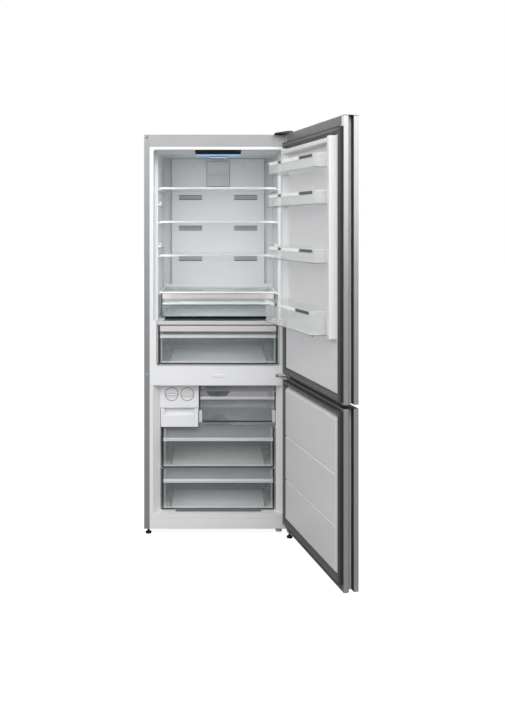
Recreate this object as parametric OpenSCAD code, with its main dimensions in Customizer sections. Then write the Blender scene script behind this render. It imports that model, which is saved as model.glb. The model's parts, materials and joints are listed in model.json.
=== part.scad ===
// Two-door refrigerator with the freezer below, right-hinged, shown with both doors open.
// Origin: on the hinge axis, at floor level. +X right, +Y to the back, +Z up. Millimetres.

/* [Cabinet] */
// Width of the cabinet and of both doors
cab_w = 700; // [680:5:740]
// Height of the cabinet, from its base to its top
cab_h = 1864; // [1840:4:1940]
// Depth of the cabinet without the doors
cab_d = 600; // [590:5:640]
// Height of the base above the floor
floor_gap = 28; // [26:1:34]
// Thickness of the steel sheet of the case
sheet_t = 1.2; // [0.8:0.1:1.6]
// Thickness of the back panel
back_t = 1; // [0.6:0.1:1.6]
// Width of the folded front edge of the case
fold_w = 26; // [22:1:30]
// Height of the silver strip across the top
trim_h = 57; // [50:1:60]
// Height of the plinth across the bottom
plinth_h = 54; // [46:1:55]

/* [Compartments] */
// Thickness of the plastic liners
liner_t = 2; // [1.5:0.1:2.5]
// Distance from the cabinet's side to the edge of both openings
edge_w = 42; // [40:1:44]
// Side wall beside the shelves
side_wall = 58; // [56:1:62]
// Side wall beside the door bins, at the front
recess_wall = 44; // [43:1:48]
// Depth of the wider front part that takes the door bins
recess_d = 90; // [80:1:95]
// Side wall of the freezer
freezer_wall = 74; // [72:1:78]
// Depth over which the freezer's mouth narrows to its walls
mouth_d = 45; // [30:1:48]
// Wall above the upper compartment
top_wall = 70; // [64:1:80]
// Wall behind both compartments
back_wall = 65; // [55:1:70]
// Wall between the two compartments
mullion_h = 92; // [88:1:96]
// Height of the freezer's opening
freezer_h = 606; // [604:1:612]
// Height of the freezer's floor above the base
freezer_floor = 72; // [70:1:76]
// Corner radius of the openings
opening_r = 10; // [4:1:14]
// Height of the machine bay at the bottom of the back
bay_h = 220; // [215:1:226]
// Depth of the machine bay
bay_d = 200; // [190:1:210]
// Foam between the machine bay and the freezer
bay_foam = 46; // [40:1:50]

/* [Shelves] */
// Thickness of the glass
glass_t = 4; // [3:0.5:5]
// Distance from the cabinet's front to the shelves
shelf_setback = 105; // [100:1:115]
// Height of a shelf's front trim
trim_t = 10; // [8:1:12]
// Distance from the ceiling down to the top shelf
top_space = 176; // [165:1:190]
// Height of the lowest shelf above the chiller drawer's cover
low_space = 189; // [180:1:200]
// Width of the ledges that carry the shelves
ledge_w = 14; // [12:1:18]
// Height of a ledge
ledge_h = 6; // [4:1:8]

/* [Drawers] */
// Wall thickness of the clear drawers
drawer_t = 2.5; // [2:0.1:3]
// Depth of the finger recess in a drawer's front
grip_d = 24; // [18:1:28]
// Height of the vegetable drawer
crisper_h = 180; // [170:1:182]
// Height of the chiller drawer
chiller_h = 114; // [100:1:116]
// Distance from the cabinet's front to the chiller drawer
chiller_setback = 130; // [120:1:140]
// Distance from the cabinet's front to the vegetable drawer
crisper_setback = 10; // [6:1:14]
// Distance from the cabinet's front to the freezer drawers
freezer_setback = 50; // [49:1:60]
// Distance from the freezer's ceiling down to the underside of its glass shelf
fast_space_h = 203; // [200:1:208]
// Clearance between a drawer and its rails
slide_gap = 0.3; // [0.2:0.1:0.5]

/* [Ice maker] */
// Width of the ice maker
ice_w = 183; // [175:1:190]
// Height of the housing with the two knobs
ice_housing_h = 115; // [110:1:118]
// Depth of the housing
ice_d = 200; // [180:1:220]
// Radius of a knob
knob_r = 30.5; // [26:0.5:31]
// Height of the knobs' axis above the housing's bottom
knob_rise = 65; // [60:1:70]
// Distance between the knobs
knob_pitch = 74.5; // [72:0.5:78]

/* [Doors] */
// Thickness of a door without its liner
door_t = 62; // [58:1:66]
// Distance from the cabinet's front to a door's flat inner side
door_gap = 20; // [18:1:22]
// Height of the middle of the gap between the doors above the freezer's ceiling
door_split = 52; // [51:0.5:54]
// Gap between the doors
between_doors = 15; // [14:1:18]
// Height of the lower door's edge above the base
door_drop = 11; // [10:1:16]
// Angle of both doors in this position, from closed
open_angle = 104; // [0:1:120]
// Thickness of the steel skin of a door
skin_t = 1; // [0.8:0.1:1.5]
// Depth of the grip channel in a door's free edge
channel_d = 27; // [20:1:30]
// Width of the grip channel
channel_w = 22; // [18:1:24]
// Width of the seal
seal_w = 26; // [22:1:26]
// Height of the raised rim round the door bins
rim_h = 28; // [20:1:30]

/* [Hinges] */
// Distance from the cabinet's side to the hinge axis
hinge_in = 15; // [14:1:16]
// Distance from the cabinet's front to the hinge axis
hinge_out = 35; // [35:1:38]
// Radius of the hinge pins
pin_r = 5; // [4:0.1:6]
// Clearance between a hinge pin and its bore
pin_gap = 0.05; // [0.02:0.01:0.1]
// Thickness of the hinge plates
plate_t = 4; // [3:0.5:5]
// Height of the cover over the top hinge
hinge_cover_h = 13; // [12:0.5:18]
// Radius of a foot's pad
foot_r = 14; // [12:1:18]
// Radius of the rear rollers
roller_r = 12.5; // [10:0.5:12.5]

/* [Hidden] */
$fn = 48;
eps = 0.01;

// Cabinet planes
cab_right = hinge_in;
cab_left = cab_right - cab_w;
mid_x = (cab_left + cab_right) / 2;
cab_front = hinge_out;
cab_back = cab_front + cab_d;
base_z = floor_gap;
cab_top = base_z + cab_h;
fold_left = cab_left + fold_w;
fold_right = cab_right - fold_w;
half_w = cab_w / 2;

// Compartment planes
opening_half = half_w - edge_w;
recess_half = half_w - recess_wall;
main_half = half_w - side_wall;
freezer_half = half_w - freezer_wall;
freezer_z0 = base_z + freezer_floor;
freezer_z1 = freezer_z0 + freezer_h;
upper_z0 = freezer_z1 + mullion_h;
upper_z1 = cab_top - top_wall;
cavity_back = cab_back - back_wall;
trim_z0 = cab_top - trim_h;
upper_flange_z0 = upper_z0 - 9;
lower_flange_z0 = base_z + plinth_h;
foam_front = cab_front + liner_t;
bay_front = cab_back - bay_d;
bay_top = base_z + bay_h;
step_z = bay_top + bay_foam + liner_t;
step_back = bay_front - bay_foam - 2 * liner_t - 10;
base_plate_t = 2;

// Upper compartment's contents
shelf_half = main_half - 8;
shelf_front = cab_front + shelf_setback;
duct_t = 20;
duct_front = cavity_back - duct_t;
duct_half = 248;
shelf_back = duct_front - 10;
crisper_top = upper_z0 + 8 + crisper_h + 6;
deck_h = 17;
deck_top = crisper_top + deck_h;
deck_front = cab_front + 13;
leg_t = 5.5;
runner_half = main_half - 30;
tub_half = runner_half + 4;
crisper_front = cab_front + crisper_setback;
crisper_z0 = upper_z0 + 8;
crisper_half = main_half - 11.5;
chiller_front = cab_front + chiller_setback;
chiller_z0 = deck_top + 6;
chiller_half = main_half - 14.5;
cover_z0 = chiller_z0 + chiller_h + 1;
cover_front = chiller_front + 15;
duct_z0 = deck_top + 24;
top_level = upper_z1 - top_space;
low_level = cover_z0 + low_space;
shelf_levels = [top_level, (top_level + low_level) / 2, low_level];
spare_levels = [shelf_levels[0] - 74, shelf_levels[1] - 115];
vent_levels = concat([for (z = shelf_levels) z - 33], [cover_z0 - 19]);

// Freezer's contents
freezer_front = cab_front + freezer_setback;
freezer_cover_y = cavity_back - 88;
rail_w = 12;
front_half = freezer_half - 8;
bottom_drawer_z0 = freezer_z0 + 4;
rail_h = 6;
drawer_head = 6;
freezer_shelf_z = freezer_z1 - fast_space_h;
step_clear = 8;
middle_drawer_z0 = step_z + step_clear;
middle_drawer_z1 = freezer_shelf_z - drawer_head;
bottom_drawer_z1 = middle_drawer_z0 - rail_h - 1;
ice_left = mid_x - freezer_half;
ice_right = ice_left + ice_w;
ice_z0 = freezer_z1 - ice_housing_h;
ice_bin_z1 = ice_z0 - 3;
knob_z = ice_z0 + knob_rise;
knob_mid = (ice_left + ice_right) / 2;
knob_xs = [knob_mid - knob_pitch / 2, knob_mid + knob_pitch / 2];
knob_t = 8;
shaft_r = 6;
run_gap = 0.06;
fan_x = mid_x;
fan_z = freezer_shelf_z + 115;
fan_r = 56;
fan_shaft_r = 3;

// Doors, drawn closed in their own frame round the hinge axis
door_in = cab_front - door_gap;
door_out = door_in - door_t;
lower_door_z0 = base_z + door_drop;
upper_door_z1 = cab_top - 1.5;
upper_door_z0 = freezer_z1 + door_split + between_doors / 2;
lower_door_z1 = upper_door_z0 - between_doors;
upper_cap_top = 42;
upper_cap_bottom = 8;
lower_cap_top = 8;
lower_cap_bottom = 29;
cap_plate = 2.5;
boss_r = 12;
boss_h = 30;
channel_y0 = door_out + 20;
seal_front = cab_front - 0.3;
seal_x0 = cab_left + 2;
seal_x1 = 0;
panel_x0 = seal_x0 + seal_w + 1;
panel_x1 = seal_x1 - seal_w - 1;
upper_seal_z0 = upper_door_z0 + upper_cap_bottom;
upper_seal_z1 = upper_door_z1 - upper_cap_top;
lower_seal_z0 = lower_door_z0 + lower_cap_bottom;
lower_seal_z1 = lower_door_z1 - lower_cap_top;
panel_y = door_in + 12;
freezer_panel_y = cab_front - 1;
rim_y = panel_y + rim_h;
rim_clear = 9;
rim_left = mid_x - recess_half + rim_clear;
rim_right = mid_x + recess_half - rim_clear;
rim_w = 23;
rim_slope = 6;
rim_z0 = deck_top + 7;
bin_x0 = rim_left + rim_w + rim_slope + 2;
bin_x1 = rim_right - rim_w - rim_slope - 2;
bin_y0 = panel_y + 1;
bin_y1 = 128;
bottle_y1 = 143;
bin_taper = 2.5;
bin_wall = 2.5;
bin_h = 54;
bottle_h = 94;
bin_ear = 10;
bottle_z = rim_z0 + 11;
bottle_top = bottle_z + bottle_h + bin_ear;
second_bin_z = upper_z1 - 276;
bin_levels = [upper_z1 - 129, second_bin_z, (bottle_top + second_bin_z - bin_h + 1) / 2];
bin_r = 18;
rail_t = 1.5;
rail_band = 13;

// A box given by its lowest and highest corners
module box(lo, hi) {
  translate(lo) cube(hi - lo);
}

// A rectangle with round corners, its corner at the origin
module round_rect(w, h, r) {
  translate([r, 0]) square([w - 2 * r, h]);
  translate([0, r]) square([w, h - 2 * r]);
  for (x = [r, w - r]) {
    for (y = [r, h - r]) {
      translate([x, y]) circle(r);
    }
  }
}

// A block whose corners are round as seen from the front
module front_block(x0, x1, y0, y1, z0, z1, r) {
  translate([x0, y1, z0])
    rotate([90, 0, 0])
      linear_extrude(y1 - y0) round_rect(x1 - x0, z1 - z0, r);
}

// A block whose corners are round as seen from above
module plan_block(x0, x1, y0, y1, z0, z1, r) {
  translate([x0, y0, z0])
    linear_extrude(z1 - z0) round_rect(x1 - x0, y1 - y0, r);
}

// An outline in the plane of Y and Z, carried along X
module side_profile(x0, x1, points) {
  translate([x0, 0, 0])
    rotate([90, 0, 90])
      linear_extrude(x1 - x0) polygon(points);
}

// An outline in the plane of X and Z, carried along Y
module front_profile(y0, y1, points) {
  translate([0, y1, 0])
    rotate([90, 0, 0])
      linear_extrude(y1 - y0) polygon(points);
}

// A cylinder along Y
module y_cylinder(x, y0, y1, z, r) {
  translate([x, y1, z]) rotate([90, 0, 0]) cylinder(r = r, h = y1 - y0);
}

// A panel with bevelled edges that stands on a flat side
module bevelled_panel(x0, x1, y0, y1, z0, z1, bevel) {
  intersection() {
    translate([0, 0, z0])
      linear_extrude(z1 - z0)
        polygon([[x0, y0], [x1, y0], [x1 - bevel, y1], [x0 + bevel, y1]]);
    side_profile(x0, x1, [[y0, z0], [y1, z0 + bevel], [y1, z1 - bevel], [y0, z1]]);
  }
}

// The upper compartment's space, grown by g on every wall
module upper_space(g, y0) {
  front_block(mid_x - main_half - g, mid_x + main_half + g, y0, cavity_back + g,
    upper_z0 - g, upper_z1 + g, opening_r);
  front_block(mid_x - recess_half - g, mid_x + recess_half + g, y0, cab_front + recess_d + g,
    deck_top - g, upper_z1 + g, opening_r);
}

// The freezer's space, grown by g on every wall, with a step over the machine bay
module lower_space(g, y0) {
  front_block(mid_x - freezer_half - g, mid_x + freezer_half + g, y0, step_back + g,
    freezer_z0 - g, freezer_z1 + g, opening_r);
  front_block(mid_x - freezer_half - g, mid_x + freezer_half + g, y0, cavity_back + g,
    step_z - g, freezer_z1 + g, opening_r);
  lip = opening_half - freezer_half;
  intersection() {
    front_block(mid_x - opening_half - g, mid_x + opening_half + g, y0,
      cab_front + mouth_d + g, freezer_z0 - g, freezer_z1 + g, opening_r);
    translate([mid_x, 0, freezer_z0 - g])
      linear_extrude(freezer_h + 2 * g)
        polygon([
          [-opening_half - g, y0], [opening_half + g, y0], [opening_half + g, cab_front],
          [opening_half + g - lip, cab_front + mouth_d], [-opening_half - g + lip, cab_front + mouth_d],
          [-opening_half - g, cab_front]
        ]);
  }
}

// Ledges on both side walls of a compartment
module ledges(half, w, y0, y1, z0, z1) {
  for (side = [-1, 1]) {
    x = mid_x + side * half;
    box([min(x, x - side * w), y0, z0], [max(x, x - side * w), y1, z1]);
  }
}

// Cabinet

// Steel case: two sides and the top, folded in along the front edge
module outer_case() {
  color("#a9abac") {
    for (x = [cab_left, cab_right - sheet_t]) {
      box([x, cab_front, base_z], [x + sheet_t, cab_back, cab_top]);
    }
    box([cab_left, cab_front, cab_top - sheet_t], [cab_right, cab_back, cab_top]);
    for (x = [cab_left, fold_right]) {
      box([x, cab_front, base_z], [x + fold_w, cab_front + sheet_t, cab_top]);
    }
  }
}

// Flat steel sheet that closes the back above the machine bay
module rear_panel() {
  color("#8d9092")
    box([cab_left + sheet_t, cab_back - back_t, bay_top], [cab_right - sheet_t, cab_back, cab_top - sheet_t]);
}

// Silver strip across the top of the front, with one round end beside the hinge
module top_trim() {
  end_r = 22;
  color("#bcbdbd")
    translate([fold_left, cab_front + liner_t, trim_z0])
      rotate([90, 0, 0])
        linear_extrude(liner_t) {
          square([fold_right - fold_left, trim_h - sheet_t - end_r]);
          square([fold_right - fold_left - end_r, trim_h - sheet_t]);
          translate([fold_right - fold_left - end_r, trim_h - sheet_t - end_r]) circle(end_r);
        }
}

// White inner tub of the upper compartment with its front flange and shelf ledges
module upper_liner() {
  color("#e4e7e9") {
    difference() {
      union() {
        upper_space(liner_t, cab_front);
        box([fold_left, cab_front, upper_flange_z0], [fold_right, foam_front, trim_z0]);
      }
      upper_space(0, cab_front - 1);
    }
    for (z = concat(shelf_levels, spare_levels)) {
      ledges(main_half, ledge_w, shelf_front + 15, shelf_back, z - glass_t - ledge_h, z - glass_t);
    }
    ledges(main_half, ledge_w - 2, cover_front + 5, shelf_back, cover_z0 - ledge_h, cover_z0);
  }
}

// White inner tub of the freezer with its front flange and drawer rails
module lower_liner() {
  color("#dcdfe0") {
    difference() {
      union() {
        lower_space(liner_t, cab_front);
        box([fold_left, cab_front, lower_flange_z0], [fold_right, foam_front, freezer_z1]);
      }
      lower_space(0, cab_front - 1);
    }
    rail_y0 = freezer_front + 15;
    intersection() {
      lower_space(liner_t / 2, cab_front);
      ledges(freezer_half, rail_w + 2, rail_y0, step_back - 10, freezer_z0 - liner_t / 2,
        bottom_drawer_z0 - slide_gap);
    }
    ledges(freezer_half, rail_w + 2, rail_y0, freezer_cover_y - 10,
      middle_drawer_z0 - rail_h, middle_drawer_z0 - slide_gap);
    ledges(freezer_half, rail_w / 2, freezer_front + 3, freezer_cover_y - 10,
      freezer_shelf_z - rail_h, freezer_shelf_z);
  }
}

// Flat pocket against the left side sheet, in which the condenser tube lies
condenser_r = 2.4;
condenser_run = 1150;
condenser_pitch = 76;
condenser_runs = 6;
condenser_y0 = cab_front + 90;
condenser_z0 = base_z + 380;
pocket_x0 = cab_left + sheet_t;
pocket_x1 = pocket_x0 + 2 * condenser_r + 0.4;

// Insulating foam between the case and the liners
module cabinet_foam() {
  color("#e9dfb8")
    difference() {
      box([cab_left + sheet_t, foam_front, base_z + base_plate_t],
        [cab_right - sheet_t, cab_back - back_t, cab_top - sheet_t]);
      upper_space(liner_t, cab_front);
      lower_space(liner_t, cab_front);
      box([cab_left, bay_front, base_z], [cab_right, cab_back, bay_top]);
      box([pocket_x0 - 1, condenser_y0 - 6, condenser_z0 - condenser_pitch / 2 - 6],
        [pocket_x1, condenser_y0 + (condenser_runs - 1) * condenser_pitch + 6,
          condenser_z0 + condenser_run + condenser_pitch / 2 + 6]);
    }
}

// White bar between the two compartments, with a raised blank in its middle
module mullion_cover() {
  blank_w = 54;
  blank_h = 15;
  blank_rise = 1.5;
  blank_z = lower_seal_z1 + 1 + blank_h / 2;
  color("#e3e4e4") {
    box([fold_left, cab_front, freezer_z1 + liner_t], [fold_right, foam_front, upper_flange_z0]);
    front_block(mid_x - blank_w / 2, mid_x + blank_w / 2, cab_front - blank_rise, cab_front,
      blank_z - blank_h / 2, blank_z + blank_h / 2, blank_h / 2 - 0.5);
  }
}

// White strip across the bottom of the front
module plinth() {
  color("#d9dadb")
    box([fold_left, cab_front, base_z], [fold_right, foam_front, base_z + plinth_h]);
}

// Feet, rollers and machine bay

foot_x = cab_left + 19;
foot_y = cab_front + 25;
foot_pad_h = 11;
stem_r = 5;
roller_y = cab_back - 42;
roller_w = 16;
roller_xs = [cab_left + 40, cab_right - 40];
axle_r = 4;
roller_z = roller_r;

// Steel floor of the cabinet, with the hole for the left foot and the roller brackets
module base_plate() {
  cheek_t = 3;
  cheek_gap = 0.5;
  color("#6f7375") {
    difference() {
      union() {
        box([cab_left + sheet_t, foam_front, base_z], [cab_right - sheet_t, cab_back, base_z + base_plate_t]);
        translate([foot_x, foot_y, base_z - 6]) cylinder(r = stem_r + 5, h = 6);
      }
      translate([foot_x, foot_y, base_z - 7]) cylinder(r = stem_r + 0.1, h = 7);
    }
    for (x = roller_xs) {
      for (side = [-1, 1]) {
        x0 = side > 0 ? x + roller_w / 2 + cheek_gap : x - roller_w / 2 - cheek_gap - cheek_t;
        side_profile(x0, x0 + cheek_t, [
          [roller_y - 14, base_z], [roller_y + 14, base_z],
          [roller_y + 7, roller_z - 7], [roller_y - 7, roller_z - 7]
        ]);
      }
      translate([x - roller_w / 2 - cheek_gap - cheek_t - 2, roller_y, roller_z])
        rotate([0, 90, 0]) cylinder(r = axle_r, h = roller_w + 2 * (cheek_gap + cheek_t + 2));
    }
  }
}

// Round black foot with a screw stem
module foot(stem_top) {
  neck_r = 9;
  cylinder(r = foot_r, h = foot_pad_h - 4);
  translate([0, 0, foot_pad_h - 4]) cylinder(r1 = foot_r, r2 = neck_r, h = 4);
  cylinder(r = stem_r, h = stem_top);
}

// The two front feet: one under the left corner, one under the bottom hinge
module front_feet() {
  color("#1c1c1e") {
    translate([foot_x, foot_y, 0]) foot(base_z);
    foot(base_z - plate_t);
  }
}

// Roller under the back edge
module rear_roller(x) {
  color("#3a3b3d")
    translate([x - roller_w / 2, roller_y, roller_z])
      rotate([0, 90, 0])
        difference() {
          cylinder(r = roller_r, h = roller_w);
          translate([0, 0, -1]) cylinder(r = axle_r + run_gap, h = roller_w + 2);
        }
}

compressor_x = cab_left + 190;
compressor_y = cab_back - 95;
compressor_r = 78;
compressor_h = 150;
grommet_h = 12;

// Sealed compressor: a domed pot on a foot plate with four rubber grommets
module compressor() {
  dome = 26;
  plate_half = 88;
  z0 = base_z + base_plate_t + grommet_h;
  color("#26282b")
    translate([compressor_x, compressor_y, 0]) {
      translate([0, 0, z0 + 3])
        rotate_extrude() {
          square([compressor_r - dome, compressor_h]);
          translate([0, dome]) square([compressor_r, compressor_h - 2 * dome]);
          for (z = [dome, compressor_h - dome]) {
            translate([compressor_r - dome, z]) intersection() {
              circle(dome);
              translate([0, -dome]) square([dome, 2 * dome]);
            }
          }
        }
      box([-plate_half, -60, z0], [plate_half, 60, z0 + 3]);
      for (x = [-1, 1]) {
        for (y = [-1, 1]) {
          translate([x * (plate_half - 12), y * 46, base_z + base_plate_t]) cylinder(r = 10, h = grommet_h);
        }
      }
      translate([compressor_r - 3, -18, z0 + 50]) cube([14, 36, 48]);
      translate([-30, 0, z0 + compressor_h - 2]) cylinder(r = 4, h = 12);
    }
}

// Tray on top of the compressor in which defrost water dries up
module drip_pan() {
  pan_x = 150;
  pan_y = 80;
  pan_h = 26;
  wall = 2;
  z0 = base_z + base_plate_t + grommet_h + 3 + compressor_h + 0.3;
  color("#2f3133")
    translate([compressor_x, compressor_y, z0])
      difference() {
        plan_block(-pan_x / 2 - 20, pan_x / 2, -pan_y, pan_y, 0, pan_h - 3, 12);
        plan_block(-pan_x / 2 - 20 + wall, pan_x / 2 - wall, -pan_y + wall, pan_y - wall, wall, pan_h, 10);
        translate([-30, 0, -1]) cylinder(r = 5, h = wall + 2);
      }
}

// Condenser: one tube that runs up and down the inside of the left side sheet
module condenser_tube() {
  tube_x = pocket_x0 + condenser_r + 0.2;
  bend_r = condenser_pitch / 2;
  color("#9a6a45")
    for (i = [0:condenser_runs - 1]) {
      y = condenser_y0 + i * condenser_pitch;
      translate([tube_x, y, condenser_z0]) cylinder(r = condenser_r, h = condenser_run);
      if (i < condenser_runs - 1) {
        up = i % 2 == 0;
        translate([tube_x, y + bend_r, up ? condenser_z0 + condenser_run : condenser_z0])
          rotate([0, 90, 0])
            rotate([0, 0, up ? 90 : -90])
              rotate_extrude(angle = 180) translate([bend_r, 0]) circle(condenser_r);
      }
    }
}

// Cooling block behind the freezer's rear cover: fins on four tubes, with a heater below
module evaporator() {
  fin_pitch = 18;
  fin_t = 1;
  fin_h = 150;
  half = 216;
  tube_r = 4;
  tube_pitch = 36;
  heater_drop = 12;
  plate_t = 4;
  plate_x = half + 12;
  y0 = freezer_cover_y + 14;
  y1 = cavity_back - 8;
  z0 = step_z + 26;
  z1 = z0 + fin_h;
  tube_y = (y0 + y1) / 2;
  color("#c3c7ca") {
    for (x = [-half:fin_pitch:half]) {
      box([mid_x + x - fin_t / 2, y0, z0], [mid_x + x + fin_t / 2, y1, z1]);
    }
    for (z = concat([z0 - heater_drop], [for (z = [z0 + 20:tube_pitch:z1 - 10]) z])) {
      translate([mid_x - plate_x, tube_y, z]) rotate([0, 90, 0]) cylinder(r = tube_r, h = 2 * plate_x);
    }
    for (x = [-plate_x - plate_t, plate_x]) {
      box([mid_x + x, y0, z0 - 20], [mid_x + x + plate_t, cavity_back, z1]);
    }
  }
}

// White cover in front of the cooling block, with the fan's mouth and air slots
module freezer_rear_cover() {
  wall = 3;
  gap = 1;
  half = freezer_half - gap;
  z0 = step_z + gap;
  z1 = freezer_z1 - gap;
  slot_w = 90;
  slot_h = 7;
  slot_x = 160;
  slot_pitch = 16;
  color("#e6e8ea")
    difference() {
      front_block(mid_x - half, mid_x + half, freezer_cover_y, cavity_back, z0, z1, opening_r - gap);
      front_block(mid_x - half + wall, mid_x + half - wall, freezer_cover_y + wall, cavity_back + 1,
        z0 + wall, z1 - wall, opening_r / 2);
      y_cylinder(fan_x, freezer_cover_y - 1, freezer_cover_y + wall + 1, fan_z, fan_r + 3);
      for (x = [-1, 1]) {
        for (row = [0:3]) {
          translate([mid_x + x * slot_x - slot_w / 2, freezer_cover_y - 1, step_z + 40 + row * slot_pitch])
            cube([slot_w, wall + 2, slot_h]);
        }
      }
    }
}

// Fan motor with a three-armed bracket that stands on the back of the rear cover
module fan_motor() {
  arm_w = 10;
  arm_t = 3;
  arm_start = 16;
  arm_len = fan_r + 6 - arm_start;
  motor_r = 22;
  motor_len = 26;
  motor_y = freezer_cover_y + 30;
  arm_y = motor_y + 4;
  cover_inner_y = freezer_cover_y + 3;
  color("#3f4245") {
    y_cylinder(fan_x, motor_y, motor_y + motor_len, fan_z, motor_r);
    y_cylinder(fan_x, freezer_cover_y + 6, motor_y, fan_z, fan_shaft_r);
    for (i = [0:2]) {
      translate([fan_x, arm_y, fan_z])
        rotate([0, 90 + i * 120, 0])
          translate([arm_start, 0, -arm_w / 2]) {
            cube([arm_len, arm_t, arm_w]);
            translate([arm_len - arm_t, cover_inner_y - arm_y, 0])
              cube([arm_t, arm_y - cover_inner_y, arm_w]);
          }
    }
  }
}

// Fan wheel with five pitched blades on a hub
module fan_rotor() {
  hub_r = 15;
  hub_y0 = freezer_cover_y + 8;
  hub_y1 = freezer_cover_y + 26;
  blade_t = 2;
  color("#d6d8da")
    difference() {
      intersection() {
        union() {
          y_cylinder(fan_x, hub_y0, hub_y1, fan_z, hub_r);
          for (i = [0:4]) {
            translate([fan_x, (hub_y0 + hub_y1) / 2, fan_z])
              rotate([0, i * 72, 0])
                rotate([0, 0, 32])
                  translate([-13, -blade_t / 2, 8]) cube([26, blade_t, fan_r - 8]);
          }
        }
        y_cylinder(fan_x, hub_y0 - 5, hub_y1 + 1, fan_z, fan_r);
      }
      y_cylinder(fan_x, hub_y0 - 6, hub_y1 + 2, fan_z, fan_shaft_r + run_gap);
    }
}

// Grommet in a small bracket, through which the mains lead would leave the back
module power_gland() {
  x = cab_right - 110;
  z = base_z + base_plate_t;
  lead_r = 3.7;
  color("#2a2b2d")
    difference() {
      union() {
        box([x - 16, cab_back - 8, z], [x + 16, cab_back - 4, z + 36]);
        y_cylinder(x, cab_back - 16, cab_back + 6, z + 20, 9);
      }
      y_cylinder(x, cab_back - 17, cab_back + 7, z + 20, lead_r);
    }
}

// Upper compartment's fittings

vent_w = 124;
vent_h = 25;
vent_x = 148;

// Air duct cover on the back wall, with four rows of louvred vents
module duct_cover() {
  wall = 2.5;
  bar_h = 3;
  bar_pitch = 6.5;
  color("#c9cdd0") {
    difference() {
      box([mid_x - duct_half, duct_front, duct_z0], [mid_x + duct_half, cavity_back, upper_z1 - 2]);
      box([mid_x - duct_half + wall, duct_front + wall, duct_z0 + wall],
        [mid_x + duct_half - wall, cavity_back + 1, upper_z1 - 2 - wall]);
      for (x = [-vent_x, vent_x]) {
        for (z = vent_levels) {
          translate([mid_x + x - vent_w / 2, duct_front - 1, z - vent_h / 2])
            cube([vent_w, wall + 2, vent_h]);
        }
      }
    }
    for (x = [-vent_x, vent_x]) {
      for (level = vent_levels) {
        for (row = [-1, 0, 1]) {
          z = level + row * bar_pitch;
          box([mid_x + x - vent_w / 2, duct_front + 0.5, z - bar_h / 2],
            [mid_x + x + vent_w / 2, duct_front + wall, z + bar_h / 2]);
        }
      }
    }
  }
}

// Flat box on the duct cover that holds the air filter
module filter_box() {
  half = 59;
  box_t = 14;
  box_h = 131;
  z1 = upper_z1 - 17;
  z0 = z1 - box_h;
  color("#bfc5c9")
    difference() {
      front_block(mid_x - half, mid_x + half, duct_front - box_t, duct_front, z0, z1, 4);
      box([mid_x - half + 3, duct_front - box_t + 3, z0 + 3], [mid_x + half - 3, duct_front + 1, z1 - 3]);
    }
}

panel_half = 110;
panel_y0 = cab_front + 20;
panel_y1 = panel_y0 + 100;
lamp_y1 = panel_y1 + 45;

// Black control panel under the ceiling, with a small sensor block behind it
module control_panel() {
  color("#15181d") {
    side_profile(mid_x - panel_half, mid_x + panel_half, [
      [panel_y0, upper_z1], [panel_y0, upper_z1 - 3], [panel_y1, upper_z1 - 12], [panel_y1, upper_z1]
    ]);
    side_profile(mid_x - 40, mid_x + 40, [
      [lamp_y1, upper_z1], [lamp_y1, upper_z1 - 19], [lamp_y1 + 35, upper_z1 - 24], [lamp_y1 + 35, upper_z1]
    ]);
  }
}

// Clear strip over the ceiling lamp
module lamp_cover() {
  color("#9cc3ea")
    side_profile(mid_x - panel_half + 3, mid_x + panel_half - 3, [
      [panel_y1, upper_z1], [panel_y1, upper_z1 - 12], [lamp_y1, upper_z1 - 18], [lamp_y1, upper_z1]
    ]);
}

// Three identical glass panes, one for each shelf
module shelf_panes() {
  color("#cfe3e4", 0.4)
    for (z = shelf_levels) {
      box([mid_x - shelf_half + 3, shelf_front + 4, z - glass_t], [mid_x + shelf_half - 3, shelf_back, z]);
    }
}

// Three identical trims along the front edges of the panes
module shelf_trims() {
  color("#f2f4f4")
    for (z = shelf_levels) {
      difference() {
        box(
          [mid_x - shelf_half, shelf_front, z - glass_t - 3],
          [mid_x + shelf_half, shelf_front + 12, z - glass_t - 3 + trim_t]
        );
        box(
          [mid_x - shelf_half + 3, shelf_front + 4, z - glass_t],
          [mid_x + shelf_half - 3, shelf_front + 13, z]
        );
      }
    }
}

// Plain frame round the glass over the chiller drawer
module chiller_cover_frame() {
  half = main_half - 2;
  inner = half - 14;
  rear_bar = 12;
  color("#dfe4e6")
    difference() {
      union() {
        box([mid_x - half, cover_front, cover_z0], [mid_x + half, duct_front - 2, cover_z0 + 8]);
        for (side = [-1, 1]) {
          x = mid_x + side * half;
          box(
            [min(x, x - side * 5), cover_front + 40, cover_z0],
            [max(x, x - side * 5), duct_front - 2, cover_z0 + 12]
          );
        }
        box(
          [mid_x - half, duct_front - 2 - rear_bar, cover_z0],
          [mid_x + half, duct_front - 2, cover_z0 + 22]
        );
      }
      box(
        [mid_x - inner, cover_front + 8, cover_z0 + 2],
        [mid_x + inner, duct_front - 2 - rear_bar, cover_z0 + 27]
      );
      box([mid_x - inner + 8, cover_front + 16, cover_z0 - 1],
        [mid_x + inner - 8, duct_front - 10 - rear_bar, cover_z0 + 3]);
    }
}

// Glass pane over the chiller drawer
module chiller_cover_glass() {
  inner = main_half - 2 - 14;
  color("#cfe3e4", 0.4)
    box([mid_x - inner, cover_front + 8, cover_z0 + 2],
      [mid_x + inner, duct_front - 2 - 12, cover_z0 + 2 + glass_t]);
}

deck_half = main_half - 0.5;
deck_back = duct_front - 2;

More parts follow.
